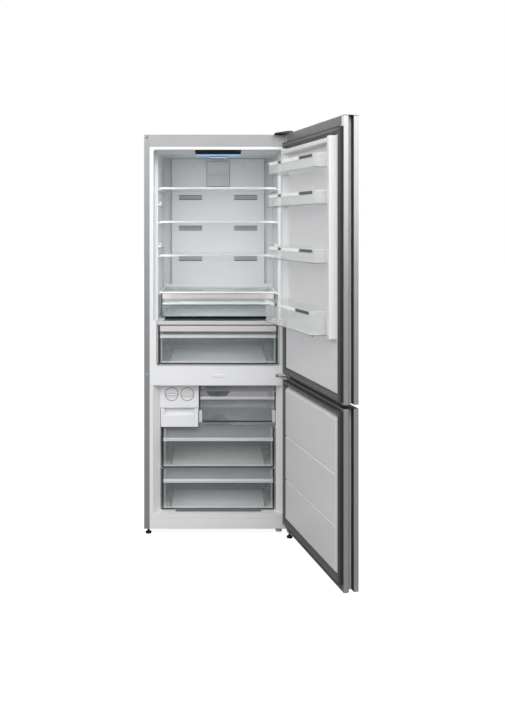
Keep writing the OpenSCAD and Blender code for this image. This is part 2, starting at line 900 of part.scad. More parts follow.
// White frame over the vegetable drawer: front bar, side rails and two legs with runners
module crisper_shelf_frame() {
  color("#f0f1f2") {
    difference() {
      box([mid_x - deck_half, deck_front, crisper_top], [mid_x + deck_half, deck_back, deck_top]);
      box([mid_x - runner_half + 1, deck_front + 14, deck_top - 2 - glass_t],
        [mid_x + runner_half - 1, deck_back - 12, deck_top + 1]);
      box([mid_x - runner_half + 9, deck_front + 22, crisper_top - 1],
        [mid_x + runner_half - 9, deck_back - 20, deck_top]);
    }
    for (side = [-1, 1]) {
      outer = mid_x + side * deck_half;
      inner = outer - side * leg_t;
      rail = mid_x + side * runner_half;
      foot = outer - side * opening_r;
      leg_z0 = upper_z0 + opening_r;
      box([min(outer, inner), deck_front + 2, leg_z0], [max(outer, inner), deck_back - 40, crisper_top]);
      front_profile(deck_front + 22, deck_back - 40, [
        [foot, upper_z0], [outer, leg_z0], [outer, leg_z0 + leg_t], [inner, leg_z0 + leg_t],
        [inner, crisper_z0 - slide_gap], [rail, crisper_z0 - slide_gap], [rail, upper_z0]
      ]);
      box([min(rail, rail + side * 10), chiller_front + 12, deck_top],
        [max(rail, rail + side * 10), deck_back - 10, chiller_z0 - slide_gap]);
    }
  }
}

// Glass pane over the vegetable drawer
module crisper_shelf_glass() {
  color("#6f8287", 0.5)
    box([mid_x - runner_half + 1, deck_front + 14, deck_top - 2 - glass_t],
      [mid_x + runner_half - 1, deck_back - 12, deck_top - 2]);
}

flap_x0 = ice_right + 3;
flap_x1 = mid_x + freezer_half - 1;
flap_z0 = freezer_shelf_z + glass_t + 4;
flap_z1 = freezer_z1 - 5;
flap_pin_y = freezer_front + 5;
flap_pin_z = flap_z0 + 5;
flap_pin_r = 3;
lug_t = 5;

// Glass shelf of the freezer with a front trim and two lugs that carry the flap
module freezer_shelf() {
  half = freezer_half - 2;
  color("#a9b7b8", 0.6)
    difference() {
      union() {
        box(
          [mid_x - half, freezer_front + 3, freezer_shelf_z],
          [mid_x + half, freezer_cover_y - 8, freezer_shelf_z + glass_t]
        );
        box(
          [mid_x - half, freezer_front + 1, freezer_shelf_z - 5],
          [mid_x + half, freezer_front + 3, freezer_shelf_z + glass_t]
        );
        for (x = [flap_x0, flap_x1 - lug_t]) {
          box(
            [x, freezer_front + 1, freezer_shelf_z + glass_t],
            [x + lug_t, freezer_front + 14, flap_pin_z + 8]
          );
        }
      }
      translate([flap_x0 - 1, flap_pin_y, flap_pin_z])
        rotate([0, 90, 0]) cylinder(r = flap_pin_r + run_gap, h = flap_x1 - flap_x0 + 2);
    }
}

// Ice maker and flap

// Housing of the ice maker: a box open below, with a round seat for each knob
module ice_maker_housing() {
  wall = 2.5;
  y0 = freezer_front - 6;
  corner_r = opening_r + 2;
  color("#eceeef")
    difference() {
      translate([ice_left, freezer_front + ice_d, ice_z0])
        rotate([90, 0, 0])
          linear_extrude(freezer_front + ice_d - y0) {
            square([ice_w, ice_housing_h - corner_r]);
            translate([corner_r, 0]) square([ice_w - corner_r, ice_housing_h]);
            translate([corner_r, ice_housing_h - corner_r]) circle(corner_r);
          }
      box([ice_left + wall, y0 + knob_t + wall + 1, ice_z0 - 1],
        [ice_right - wall, freezer_front + ice_d - wall, freezer_z1 - corner_r]);
      for (x = knob_xs) {
        y_cylinder(x, y0 - 1, y0 + knob_t, knob_z, knob_r + 0.5);
        y_cylinder(x, y0 - 1, y0 + knob_t + wall + 2, knob_z, shaft_r + run_gap);
        y_cylinder(x, freezer_front + ice_d - wall - 1, freezer_front + ice_d + 1, knob_z, shaft_r + run_gap);
      }
    }
}

// Round knob with a grip ridge, on one shaft with its ice tray
module ice_knob(x) {
  y0 = freezer_front - 6;
  tray_half = 31;
  tray_top = 9;
  tray_drop = 13;
  wall = 2;
  tray_y0 = y0 + knob_t + 12;
  tray_y1 = freezer_front + ice_d - 14;
  cells = 5;
  cell = (tray_y1 - tray_y0 - wall) / cells;
  color("#e9ebec") {
    y_cylinder(x, y0 + 0.5, y0 + knob_t - 0.5, knob_z, knob_r);
    front_block(x - knob_r + 4, x + knob_r - 4, y0 - 4, y0 + 1, knob_z - 12, knob_z - 7, 2);
    y_cylinder(x, y0 + knob_t - 1, tray_y0 + 1, knob_z, shaft_r);
    y_cylinder(x, tray_y1 - 1, freezer_front + ice_d, knob_z, shaft_r);
    difference() {
      box([x - tray_half, tray_y0, knob_z - tray_drop], [x + tray_half, tray_y1, knob_z + tray_top]);
      for (i = [0:cells - 1]) {
        for (side = [-1, 1]) {
          x0 = side < 0 ? x - tray_half + wall : x + wall / 2;
          box([x0, tray_y0 + wall + i * cell, knob_z - tray_drop + wall],
            [x0 + tray_half - 1.5 * wall, tray_y0 + (i + 1) * cell, knob_z + tray_top + 1]);
        }
      }
    }
  }
}

// Open box under the ice maker that catches the ice, with a finger notch in its front
module ice_bin() {
  wall = 2.5;
  x0 = ice_left + 2;
  x1 = ice_right - 2;
  z0 = freezer_shelf_z + glass_t + slide_gap;
  y0 = freezer_front - 6;
  y1 = freezer_front + ice_d - 5;
  notch_half = (ice_w - 40) / 2;
  notch_h = 33;
  color("#f1f2f2")
    difference() {
      union() {
        box([x0, y0, z0], [x1, y1, ice_bin_z1]);
        box([x0, y0, freezer_shelf_z - 4], [x1, freezer_front + 0.5, ice_bin_z1]);
      }
      box([x0 + wall, y0 + 24, z0 + wall], [x1 - wall, y1 - wall, ice_bin_z1 + 1]);
      box([x0 + wall, y0 + wall, z0 + wall], [x1 - wall, y0 + 25, ice_bin_z1 - notch_h - wall]);
      box(
        [knob_mid - notch_half, y0 - 1, ice_bin_z1 - notch_h],
        [knob_mid + notch_half, y0 + 20, ice_bin_z1 + 1]
      );
    }
}

// Clear flap over the fast-freezing space, with a raised lip to pull it by
module freezer_flap() {
  wall = 3;
  lip_z = flap_z0 + 125;
  x0 = flap_x0 + lug_t + 0.5;
  x1 = flap_x1 - lug_t - 0.5;
  y0 = freezer_front - 2;
  color("#aeb6b9", 0.7) {
    box([x0, y0, flap_z0], [x1, y0 + wall, flap_z1]);
    front_block(flap_x0, flap_x1, y0, y0 + wall, flap_pin_z + 12, flap_z1, 6);
    box([flap_x0 + 4, y0 - 9, lip_z], [flap_x1 - 4, y0, lip_z + 4]);
    for (x = [x0, x1 - wall]) {
      box([x, y0, flap_z0], [x + wall, flap_pin_y + flap_pin_r + 2, flap_pin_z + 8]);
    }
    translate([x0 + 1, flap_pin_y, flap_pin_z])
      rotate([0, -90, 0]) cylinder(r = flap_pin_r, h = 1 + lug_t);
    translate([x1 - 1, flap_pin_y, flap_pin_z])
      rotate([0, 90, 0]) cylinder(r = flap_pin_r, h = 1 + lug_t);
  }
}

// Drawers

// Drawer with a stepped front: a main panel, a lip and a set-back upper part.
// span is the front's half width, tub the box's half width, lip the height of the lip's top.
module drawer(center, span, tub, y0, y1, z0, z1, lip, side_drop) {
  t = drawer_t;
  side_profile(center - span, center + span, [
    [y0, z0], [y0, lip], [y0 + grip_d, lip], [y0 + grip_d, z1], [y0 + grip_d + t, z1],
    [y0 + grip_d + t, lip - t], [y0 + t, lip - t], [y0 + t, z0]
  ]);
  difference() {
    box([center - tub, y0 + t - eps, z0], [center + tub, y1, z1 - side_drop]);
    box([center - tub + t, y0 + t - 1, z0 + t], [center + tub - t, y1 - t, z1 + 1]);
    box([center - tub - 1, y0 + t - 1, lip - t], [center + tub + 1, y0 + grip_d + eps, z1 + 1]);
  }
  for (side = [-1, 1]) {
    x = center + side * span;
    box([min(x, x - side * t), y0 + eps, lip - eps], [max(x, x - side * t), y0 + grip_d + t, z1]);
  }
}

// Bar along the top of a drawer's front, with a strip that reaches back to the front
module drawer_bar(span, y0, z0, z1) {
  color("#d8d2cb") {
    box([mid_x - span + drawer_t + 0.2, y0, z0], [mid_x + span - drawer_t - 0.2, y0 + 9, z1]);
    box([mid_x - span + drawer_t + 0.2, y0 + 8, z1 - 4], [mid_x + span - drawer_t - 0.2, y0 + grip_d, z1]);
  }
}

crisper_lip = crisper_z0 + crisper_h - 50;
crisper_z1 = crisper_z0 + crisper_h;
chiller_lip = chiller_z0 + chiller_h - 46;
chiller_z1 = chiller_z0 + chiller_h;
crisper_back_room = 45;
crisper_bar_h = 26;
chiller_bar_h = 25;

// Clear vegetable drawer
module crisper_drawer() {
  color("#b9c0c4", 0.7)
    drawer(mid_x, crisper_half, tub_half, crisper_front, deck_back - crisper_back_room,
      crisper_z0, crisper_z1, crisper_lip, 6);
}

// Metal bar on the vegetable drawer
module crisper_handle() {
  drawer_bar(crisper_half, crisper_front, crisper_z1 - crisper_bar_h, crisper_z1);
}

// Clear chiller drawer
module chiller_drawer() {
  color("#b9c0c4", 0.7)
    drawer(
      mid_x, chiller_half, tub_half, chiller_front, duct_front - 12,
      chiller_z0, chiller_z1, chiller_lip, 8
    );
}

// Metal bar on the chiller drawer
module chiller_handle() {
  drawer_bar(chiller_half, chiller_front, chiller_z1 - chiller_bar_h, chiller_z1);
}

middle_grip_h = 60;
bottom_grip_h = 57;

// Upper of the two large freezer drawers
module middle_freezer_drawer() {
  color("#a8adb0", 0.7)
    drawer(mid_x, front_half, front_half - 4, freezer_front, freezer_cover_y - 12,
      middle_drawer_z0, middle_drawer_z1, middle_drawer_z1 - middle_grip_h, 4);
}

// Lower of the two large freezer drawers, shorter because of the step behind it.
// A low bar stands out along the foot of its front.
module bottom_freezer_drawer() {
  foot_half = 205;
  foot_d = 22;
  foot_h = 9;
  color("#a8adb0", 0.7) {
    drawer(mid_x, front_half, front_half - 4, freezer_front, step_back - 12,
      bottom_drawer_z0, bottom_drawer_z1, bottom_drawer_z1 - bottom_grip_h, 4);
    box([mid_x - foot_half, freezer_front - foot_d, bottom_drawer_z0],
      [mid_x + foot_half, freezer_front + drawer_t, bottom_drawer_z0 + foot_h]);
  }
}

// Hinges

flange_x0 = -64;
flange_x1 = -12;
screw_head_r = 4.5;
screw_head_h = 2.5;
screw_r = 2.4;
screw_gap = 0.2;
arm_r = 11;
top_plate_x0 = -34;
top_screws = [for (y = [cab_front + 30, cab_front + 65, cab_front + 100]) [-16, y]];
low_screws = [for (y = [cab_front + 40, cab_front + 80, cab_front + 120]) [flange_x0 + 20, y]];
middle_plate_z0 = upper_door_z0 - between_doors / 2 - plate_t / 2;
middle_screw_xs = [flange_x0 + 8, flange_x0 + 20, flange_x0 + 32, flange_x0 + 44];
pin_len = 24;
collar_r = 9;

// Round-ended plate from the hinge axis back to the cabinet, wider behind y0
module hinge_arm(x0, y0, y1, z0, z1) {
  translate([0, 0, z0]) cylinder(r = arm_r, h = z1 - z0);
  box([-arm_r, 0, z0], [arm_r, y1, z1]);
  box([x0, y0, z0], [arm_r, y1, z1]);
}

// Top hinge: a plate on the cabinet's top with a pin down into the upper door
module top_hinge() {
  color("#55585a") {
    difference() {
      hinge_arm(top_plate_x0, 0, cab_front + 120, cab_top, cab_top + plate_t);
      for (s = top_screws) {
        translate([s[0], s[1], cab_top - 1]) cylinder(r = screw_r + screw_gap, h = plate_t + 2);
      }
    }
    translate([0, 0, upper_door_z1 - pin_len]) cylinder(r = pin_r, h = cab_top - upper_door_z1 + pin_len + 1);
  }
}

// Plastic cover over the top hinge, its left part sloping down to the cabinet's top
module hinge_cover() {
  wall = 2;
  edge_h = 4;
  slope_w = 61;
  x0 = flange_x0 - 6;
  x1 = cab_right - 0.5;
  y0 = -arm_r - 6;
  y1 = cab_front + 128;
  z1 = cab_top + hinge_cover_h;
  color("#97999b")
    difference() {
      front_profile(y0, y1, [
        [x0, cab_top + 0.3], [x1, cab_top + 0.3], [x1, z1], [x0 + slope_w, z1], [x0, cab_top + edge_h]
      ]);
      front_profile(y0 + wall, y1 - wall, [
        [x0 + 4 * wall, cab_top - 1], [x1 - wall, cab_top - 1], [x1 - wall, z1 - wall],
        [x0 + slope_w, z1 - wall], [x0 + 4 * wall, cab_top + edge_h - wall / 2]
      ]);
    }
}

// Middle hinge: a flange on the bar between the compartments, an arm and two pins
module middle_hinge() {
  z0 = middle_plate_z0;
  color("#b5b7b8") {
    difference() {
      box([flange_x0, cab_front - 2, z0 - 10], [flange_x1, cab_front, z0 + plate_t + 4]);
      for (x = middle_screw_xs) {
        y_cylinder(x, cab_front - 3, cab_front + 1, z0 - 5, screw_r + screw_gap);
      }
    }
    box([flange_x0 + 16, 0, z0], [flange_x1, cab_front, z0 + plate_t]);
    box([flange_x1 - 1, -collar_r, z0], [0, collar_r, z0 + plate_t]);
    translate([0, 0, z0]) cylinder(r = collar_r + 2, h = plate_t);
    translate([0, 0, lower_door_z1 - pin_len]) cylinder(r = pin_r, h = 2 * pin_len + between_doors);
    translate([0, 0, lower_door_z1 + 0.3]) cylinder(r = collar_r, h = between_doors - 0.6);
  }
}

// Bottom hinge: a plate under the cabinet with a pin up into the lower door
module bottom_hinge() {
  boss_w = 17;
  boss_drop = 12;
  color("#7d8082") {
    difference() {
      union() {
        hinge_arm(flange_x0, cab_front + 20, cab_front + 140, base_z - plate_t, base_z);
        translate([flange_x0 + boss_w, cab_front + 20, base_z - plate_t - boss_drop])
          cylinder(r = boss_w - 2, h = boss_drop);
      }
      for (s = low_screws) {
        translate([s[0], s[1], base_z - plate_t - 1]) cylinder(r = screw_r + screw_gap, h = plate_t + 2);
      }
    }
    translate([0, 0, base_z - 1]) cylinder(r = pin_r, h = door_drop + pin_len + 1);
    translate([0, 0, base_z - 1]) cylinder(r = collar_r, h = door_drop + 0.7);
  }
}

// Screws of the three hinges, each a head and the shank inside its plate
module hinge_screws() {
  color("#4a4c4e") {
    for (s = top_screws) {
      translate([s[0], s[1], cab_top]) cylinder(r = screw_r, h = plate_t + 1);
      translate([s[0], s[1], cab_top + plate_t]) cylinder(r = screw_head_r, h = screw_head_h);
    }
    for (s = low_screws) {
      translate([s[0], s[1], base_z - plate_t - 1]) cylinder(r = screw_r, h = plate_t + 1);
      translate([s[0], s[1], base_z - plate_t - screw_head_h]) cylinder(r = screw_head_r, h = screw_head_h);
    }
    for (x = middle_screw_xs) {
      y_cylinder(x, cab_front - 3, cab_front, middle_plate_z0 - 5, screw_r);
      y_cylinder(x, cab_front - 2 - screw_head_h, cab_front - 2, middle_plate_z0 - 5, screw_head_r);
    }
  }
}

// Doors

// Turns what is drawn closed to the doors' present angle
module on_door() {
  rotate([0, 0, open_angle]) children();
}

// Outline of a door from above, drawn in by g, with the grip channel in its free edge
module door_plan(g, inner_y) {
  x0 = cab_left + g;
  x1 = cab_right - g;
  y0 = door_out + g;
  c0 = channel_y0 - g;
  c1 = channel_y0 + channel_w + g;
  polygon([
    [x0, y0], [x1, y0], [x1, inner_y], [x0, inner_y], [x0, c1],
    [x0 + channel_d, c1], [x0 + channel_d, c0], [x0, c0]
  ]);
}

// Steel skin of a door: front, both edges, the grip channel and a narrow return at the back
module door_skin(z0, z1) {
  return_w = 22;
  translate([0, 0, z0 + cap_plate])
    linear_extrude(z1 - z0 - 2 * cap_plate) {
      difference() {
        door_plan(0, door_in);
        door_plan(skin_t, door_in + 1);
      }
      for (x = [cab_left, cab_right - return_w]) {
        translate([x, door_in - skin_t]) square([return_w, skin_t]);
      }
    }
}

// End caps of a door: a cover plate, a filler behind the skin and a boss with the hinge bore
module door_caps(z0, z1, bottom_h, top_h) {
  difference() {
    union() {
      translate([0, 0, z0]) linear_extrude(cap_plate) door_plan(0, door_in);
      translate([0, 0, z1 - cap_plate]) linear_extrude(cap_plate) door_plan(0, door_in);
      translate([0, 0, z0 + 1]) linear_extrude(bottom_h - 1) door_plan(skin_t, door_in - skin_t);
      translate([0, 0, z1 - top_h]) linear_extrude(top_h - 1) door_plan(skin_t, door_in - skin_t);
      box([cab_left + 22, door_in - skin_t - 1, z1 - top_h], [cab_right - 22, door_in, z1 - 1]);
      box([cab_left + 22, door_in - skin_t - 1, z0 + 1], [cab_right - 22, door_in, z0 + bottom_h]);
      translate([0, 0, z0 + 1]) cylinder(r = boss_r, h = boss_h);
      translate([0, 0, z1 - boss_h - 1]) cylinder(r = boss_r, h = boss_h);
    }
    translate([0, 0, z0 - 1]) cylinder(r = pin_r + pin_gap, h = pin_len + 2);
    translate([0, 0, z1 - pin_len - 1]) cylinder(r = pin_r + pin_gap, h = pin_len + 2);
  }
}

// Foam between the two caps of a door, without the raised parts of its liner
module door_core(z0, z1, bottom_h, top_h) {
  difference() {
    translate([0, 0, z0 + bottom_h])
      linear_extrude(z1 - z0 - bottom_h - top_h) door_plan(skin_t, door_in - skin_t);
    translate([0, 0, z0]) cylinder(r = boss_r, h = boss_h + 1);
    translate([0, 0, z1 - boss_h - 1]) cylinder(r = boss_r, h = boss_h + 2);
  }
}

// Seal: a rectangular frame on the inner side of a door
module door_seal(z0, z1) {
  color("#6b6664")
    difference() {
      box([seal_x0, door_in, z0], [seal_x1, seal_front, z1]);
      box([seal_x0 + seal_w, door_in - 1, z0 + seal_w], [seal_x1 - seal_w, seal_front + 1, z1 - seal_w]);
    }
}

// The raised parts of the upper door's liner, drawn in by g
module upper_relief(g) {
  z0 = upper_seal_z0 + seal_w + 1 + g;
  z1 = upper_seal_z1 - seal_w - 1 - g;
  base = door_in - skin_t;
  rim_z1 = z1 - 6;
  bevelled_panel(panel_x0 + g, panel_x1 - g, base - g * eps, panel_y - g, z0, z1, 4);
  translate([0, 0, rim_z0 + g])
    linear_extrude(rim_z1 - rim_z0 - g) {
      polygon([
        [rim_left - 14 + g, base], [rim_left + g, rim_y - g], [rim_left + rim_w - g, rim_y - g],
        [rim_left + rim_w + rim_slope - g, base]
      ]);
      polygon([
        [rim_right + 6 - g, base], [rim_right - g, rim_y - g], [rim_right - rim_w + g, rim_y - g],
        [rim_right - rim_w - rim_slope + g, base]
      ]);
    }
  side_profile(rim_left + g, rim_right - g, [
    [base, rim_z1 + 2], [rim_y - g, rim_z1 - 6],
    [rim_y - g, rim_z1 - rim_w + g], [base, rim_z1 - rim_w - rim_slope + g]
  ]);
}

// The raised panel of the lower door's liner, drawn in by g, with two cross grooves
module lower_relief(g) {
  groove_w = 5;
  base = door_in - skin_t;
  z0 = lower_seal_z0 + seal_w + 1 + g;
  z1 = lower_seal_z1 - seal_w - 1 - g;
  difference() {
    bevelled_panel(panel_x0 + g, panel_x1 - g, base - g * eps, freezer_panel_y - g, z0, z1, 14);
    for (z = [freezer_shelf_z - 13, middle_drawer_z0 - 17]) {
      translate([panel_x0 - 1, freezer_panel_y, z])
        rotate([0, 90, 0]) cylinder(r = groove_w + g, h = panel_x1 - panel_x0 + 2);
    }
  }
}

// Steel skin of the upper door
module upper_door_skin() {
  color("#b3b5b6") on_door() door_skin(upper_door_z0, upper_door_z1);
}

// Dark end caps of the upper door
module upper_door_caps() {
  color("#6f6b6a") on_door() door_caps(upper_door_z0, upper_door_z1, upper_cap_bottom, upper_cap_top);
}

// Foam of the upper door
module upper_door_foam() {
  color("#e9dfb8")
    on_door() {
      door_core(upper_door_z0, upper_door_z1, upper_cap_bottom, upper_cap_top);
      upper_relief(liner_t);
    }
}

// White liner of the upper door: a flat panel with a raised rim round the bins
module upper_door_liner() {
  color("#eeefef")
    on_door()
      difference() {
        upper_relief(0);
        upper_relief(liner_t);
        box([cab_left, door_out, upper_door_z0], [cab_right, door_in - skin_t + eps, upper_door_z1]);
      }
}

// Seal of the upper door
module upper_door_seal() {
  on_door() door_seal(upper_seal_z0, upper_seal_z1);
}

// Outline of a bin from above, drawn in by g, its front nearer the door at the free end
module bin_plan(g, front) {
  length = bin_x1 - bin_x0 - 2 * g;
  intersection() {
    translate([bin_x0 + g, bin_y0 + g]) square([length, front]);
    translate([bin_x1 - g, front - g])
      rotate(bin_taper)
        translate([-length, -2 * front]) round_rect(length, 2 * front, bin_r - g);
  }
}

// Open clear bin on the door, its front and ends sloping down from the liner
module bin(z0, front, height) {
  slope_y0 = bin_y0 + 30;
  slope_y1 = bin_y0 + 60;
  z1 = z0 + height;
  difference() {
    translate([0, 0, z0]) linear_extrude(height) bin_plan(0, front);
    translate([0, 0, z0 + bin_wall]) linear_extrude(height) bin_plan(bin_wall, front);
    side_profile(bin_x0 - 1, bin_x1 + 1, [
      [slope_y0, z1 + 1], [slope_y0, z1], [slope_y1, z1 - bin_ear],
      [front + 1, z1 - bin_ear], [front + 1, z1 + 1]
    ]);
  }
}

// Three identical bins on the upper door
module door_bins() {
  color("#d7dbdd", 0.6)
    on_door()
      for (z = bin_levels) {
        bin(z, bin_y1, bin_h + bin_ear);
      }
}

// Taller bottle bin at the bottom of the upper door
module bottle_bin() {
  color("#d7dbdd", 0.6) on_door() bin(bottle_z, bottle_y1, bottle_h + bin_ear);
}

// Bright strip along the front edge of a bin, its top at z1
module bin_rail(front, z1) {
  length = bin_x1 - bin_x0;
  inset = bin_r + 1;
  translate([bin_x1, front, z1 - rail_band])
    rotate([0, 0, bin_taper])
      translate([inset - length, 0, 0]) cube([length - 2 * inset, rail_t, rail_band]);
}

// Bright strips along the front edges of the four bins
module bin_rails() {
  color("#c8cacc")
    on_door() {
      for (z = bin_levels) {
        bin_rail(bin_y1, z + bin_h);
      }
      bin_rail(bottle_y1, bottle_z + bottle_h);
    }
}

// Steel skin of the lower door
module lower_door_skin() {
  color("#b3b5b6") on_door() door_skin(lower_door_z0, lower_door_z1);
}

// Dark end caps of the lower door
module lower_door_caps() {
  color("#6f6b6a") on_door() door_caps(lower_door_z0, lower_door_z1, lower_cap_bottom, lower_cap_top);
}

// Foam of the lower door
module lower_door_foam() {
  color("#e9dfb8")
    on_door() {
      door_core(lower_door_z0, lower_door_z1, lower_cap_bottom, lower_cap_top);
      lower_relief(liner_t);
    }
}

// White liner of the lower door
module lower_door_liner() {
  color("#dfe0e1")
    on_door()
      difference() {
        lower_relief(0);
        lower_relief(liner_t);
        box([cab_left, door_out, lower_door_z0], [cab_right, door_in - skin_t + eps, lower_door_z1]);
      }
}

// Seal of the lower door
module lower_door_seal() {
  on_door() door_seal(lower_seal_z0, lower_seal_z1);
}

outer_case();
rear_panel();
top_trim();
upper_liner();
lower_liner();
cabinet_foam();
mullion_cover();
plinth();
base_plate();
compressor();
drip_pan();
condenser_tube();
evaporator();
freezer_rear_cover();
fan_motor();
fan_rotor();
duct_cover();
filter_box();
control_panel();
lamp_cover();
shelf_panes();
shelf_trims();
chiller_cover_frame();
chiller_cover_glass();
crisper_shelf_frame();
crisper_shelf_glass();
freezer_shelf();
top_hinge();
hinge_cover();
middle_hinge();
bottom_hinge();
hinge_screws();
front_feet();
rear_roller(roller_xs[0]);  // rear_roller_left
rear_roller(roller_xs[1]);  // rear_roller_right
power_gland();
ice_maker_housing();
ice_knob(knob_xs[0]);  // ice_knob_left
ice_knob(knob_xs[1]);  // ice_knob_right
ice_bin();
chiller_drawer();
chiller_handle();
crisper_drawer();
crisper_handle();
middle_freezer_drawer();
bottom_freezer_drawer();
freezer_flap();
upper_door_skin();
upper_door_caps();
upper_door_foam();
upper_door_liner();
upper_door_seal();
door_bins();
bottle_bin();
bin_rails();
lower_door_skin();
lower_door_caps();
lower_door_foam();
lower_door_liner();
lower_door_seal();
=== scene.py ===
"""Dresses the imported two-door refrigerator and sets it in a plain pale studio.

The frame's origin is on the door hinge axis at floor level, +X is right, +Y is back and +Z is up.
Lengths are in millimetres and are turned to metres as each mesh is made. What rides on a door is
drawn with the door closed and then turned to where the door stands.
"""

from __future__ import annotations

import json
import logging
import math
from collections.abc import Sequence
from dataclasses import dataclass, field, replace
from enum import Enum

import bmesh
import bpy
import numpy as np
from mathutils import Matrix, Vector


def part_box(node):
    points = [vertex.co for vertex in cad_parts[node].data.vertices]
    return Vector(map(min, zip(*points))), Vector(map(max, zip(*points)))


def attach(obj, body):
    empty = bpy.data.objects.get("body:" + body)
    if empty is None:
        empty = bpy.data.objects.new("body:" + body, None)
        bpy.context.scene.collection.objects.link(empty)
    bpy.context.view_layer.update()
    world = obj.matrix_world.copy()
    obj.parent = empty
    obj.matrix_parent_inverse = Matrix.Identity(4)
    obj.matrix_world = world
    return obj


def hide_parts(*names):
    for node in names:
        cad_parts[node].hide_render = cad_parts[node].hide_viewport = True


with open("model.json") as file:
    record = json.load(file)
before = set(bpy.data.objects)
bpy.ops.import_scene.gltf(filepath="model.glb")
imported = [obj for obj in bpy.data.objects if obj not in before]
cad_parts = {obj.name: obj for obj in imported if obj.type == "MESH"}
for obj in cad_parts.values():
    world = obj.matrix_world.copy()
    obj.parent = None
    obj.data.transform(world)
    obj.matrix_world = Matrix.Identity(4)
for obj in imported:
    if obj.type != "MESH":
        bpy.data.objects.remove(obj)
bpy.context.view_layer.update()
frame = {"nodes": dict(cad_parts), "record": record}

Tree = bpy.types.NodeTree
Node = bpy.types.Node
Socket = bpy.types.NodeSocket
Span = tuple[float, float]
Point = tuple[float, float, float]

LOG = logging.getLogger("refrigerator")
MM = 0.001
BODY_OF = {node: body for body, nodes in frame["record"]["behaviour"]["bodies"].items() for node in nodes}


def node_box(node: str) -> tuple[np.ndarray, np.ndarray]:
    """Gives a CAD node's lowest and highest corner in millimetres."""
    low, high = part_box(node)
    return np.array(low) / MM, np.array(high) / MM


# How far both doors stand open, as in the photograph
REST_ANGLE = math.radians(104.0)
# The cabinet's middle and front, and a closed door's inner and outer face
CASE_LOW, CASE_HIGH = node_box("outer_case")
MID_X = (CASE_LOW[0] + CASE_HIGH[0]) / 2
CAB_FRONT = CASE_LOW[1]
DOOR_IN = 15.0
DOOR_OUT = -47.0
# The plane that the flap's front pieces lie in, behind the raised lip of its node
FLAP_FRONT = 82.0

# Most values of a noise texture lie between these two
NOISE_LOW = 0.3
NOISE_HIGH = 0.7
# How far a bump node turns the light
BUMP_STRENGTH = 0.3
# A Mix node's colour sockets go by number, because its other sockets have the same names
MIX_A = 6
MIX_B = 7
MIX_OUT = 2


class Facing(Enum):
    """Which of the frame's axes a flat shape's own across, up and depth lie on."""

    FRONT = (0, 2, 1)
    TOP = (0, 1, 2)
    SIDE = (1, 2, 0)


def linear(colour: str) -> tuple[float, float, float, float]:
    """Turns an sRGB hex colour into linear light.

    Args:
        colour: Six hex digits after a hash sign.

    Returns:
        Red, green, blue and an alpha of one.
    """
    digits = colour.lstrip("#")
    parts = [int(digits[i : i + 2], 16) / 255 for i in (0, 2, 4)]
    light = [p / 12.92 if p <= 0.04045 else ((p + 0.055) / 1.055) ** 2.4 for p in parts]
    return (light[0], light[1], light[2], 1.0)


def per_metre(size_mm: float) -> float:
    """Gives the texture scale at which one feature is size_mm long."""
    return 1.0 / (size_mm * MM)


def add_node(
    tree: Tree, kind: str, sockets: dict[str | int, object] | None = None, **settings: object
) -> Node:
    """Adds one node to a tree.

    Args:
        tree: The node tree.
        kind: The node's type name.
        sockets: A value for an input, or the output that is linked to it.
        settings: The node's own properties.

    Returns:
        The new node.
    """
    made = tree.nodes.new(kind)
    for key, value in settings.items():
        setattr(made, key, value)
    for key, value in (sockets or {}).items():
        if isinstance(value, bpy.types.NodeSocket):
            tree.links.new(value, made.inputs[key])
        else:
            made.inputs[key].default_value = value
    return made


# Kinds of finish


@dataclass(frozen=True)
class Surface:
    """The nodes that a finish is built in.

    Attributes:
        tree: The material's node tree.
        shader: Its main shader.
        place: The object coordinates, in metres.
    """

    tree: Tree
    shader: Node
    place: Socket

    def put(self, name: str, value: object) -> None:
        """Gives one of the shader's inputs a value, or links a socket to it.

        Args:
            name: The input's name.
            value: The value or the socket.
        """
        if isinstance(value, bpy.types.NodeSocket):
            self.tree.links.new(value, self.shader.inputs[name])
        else:
            self.shader.inputs[name].default_value = value

    def source(self, name: str) -> Socket:
        """Gives the socket that is linked to one of the shader's inputs."""
        return self.shader.inputs[name].links[0].from_socket


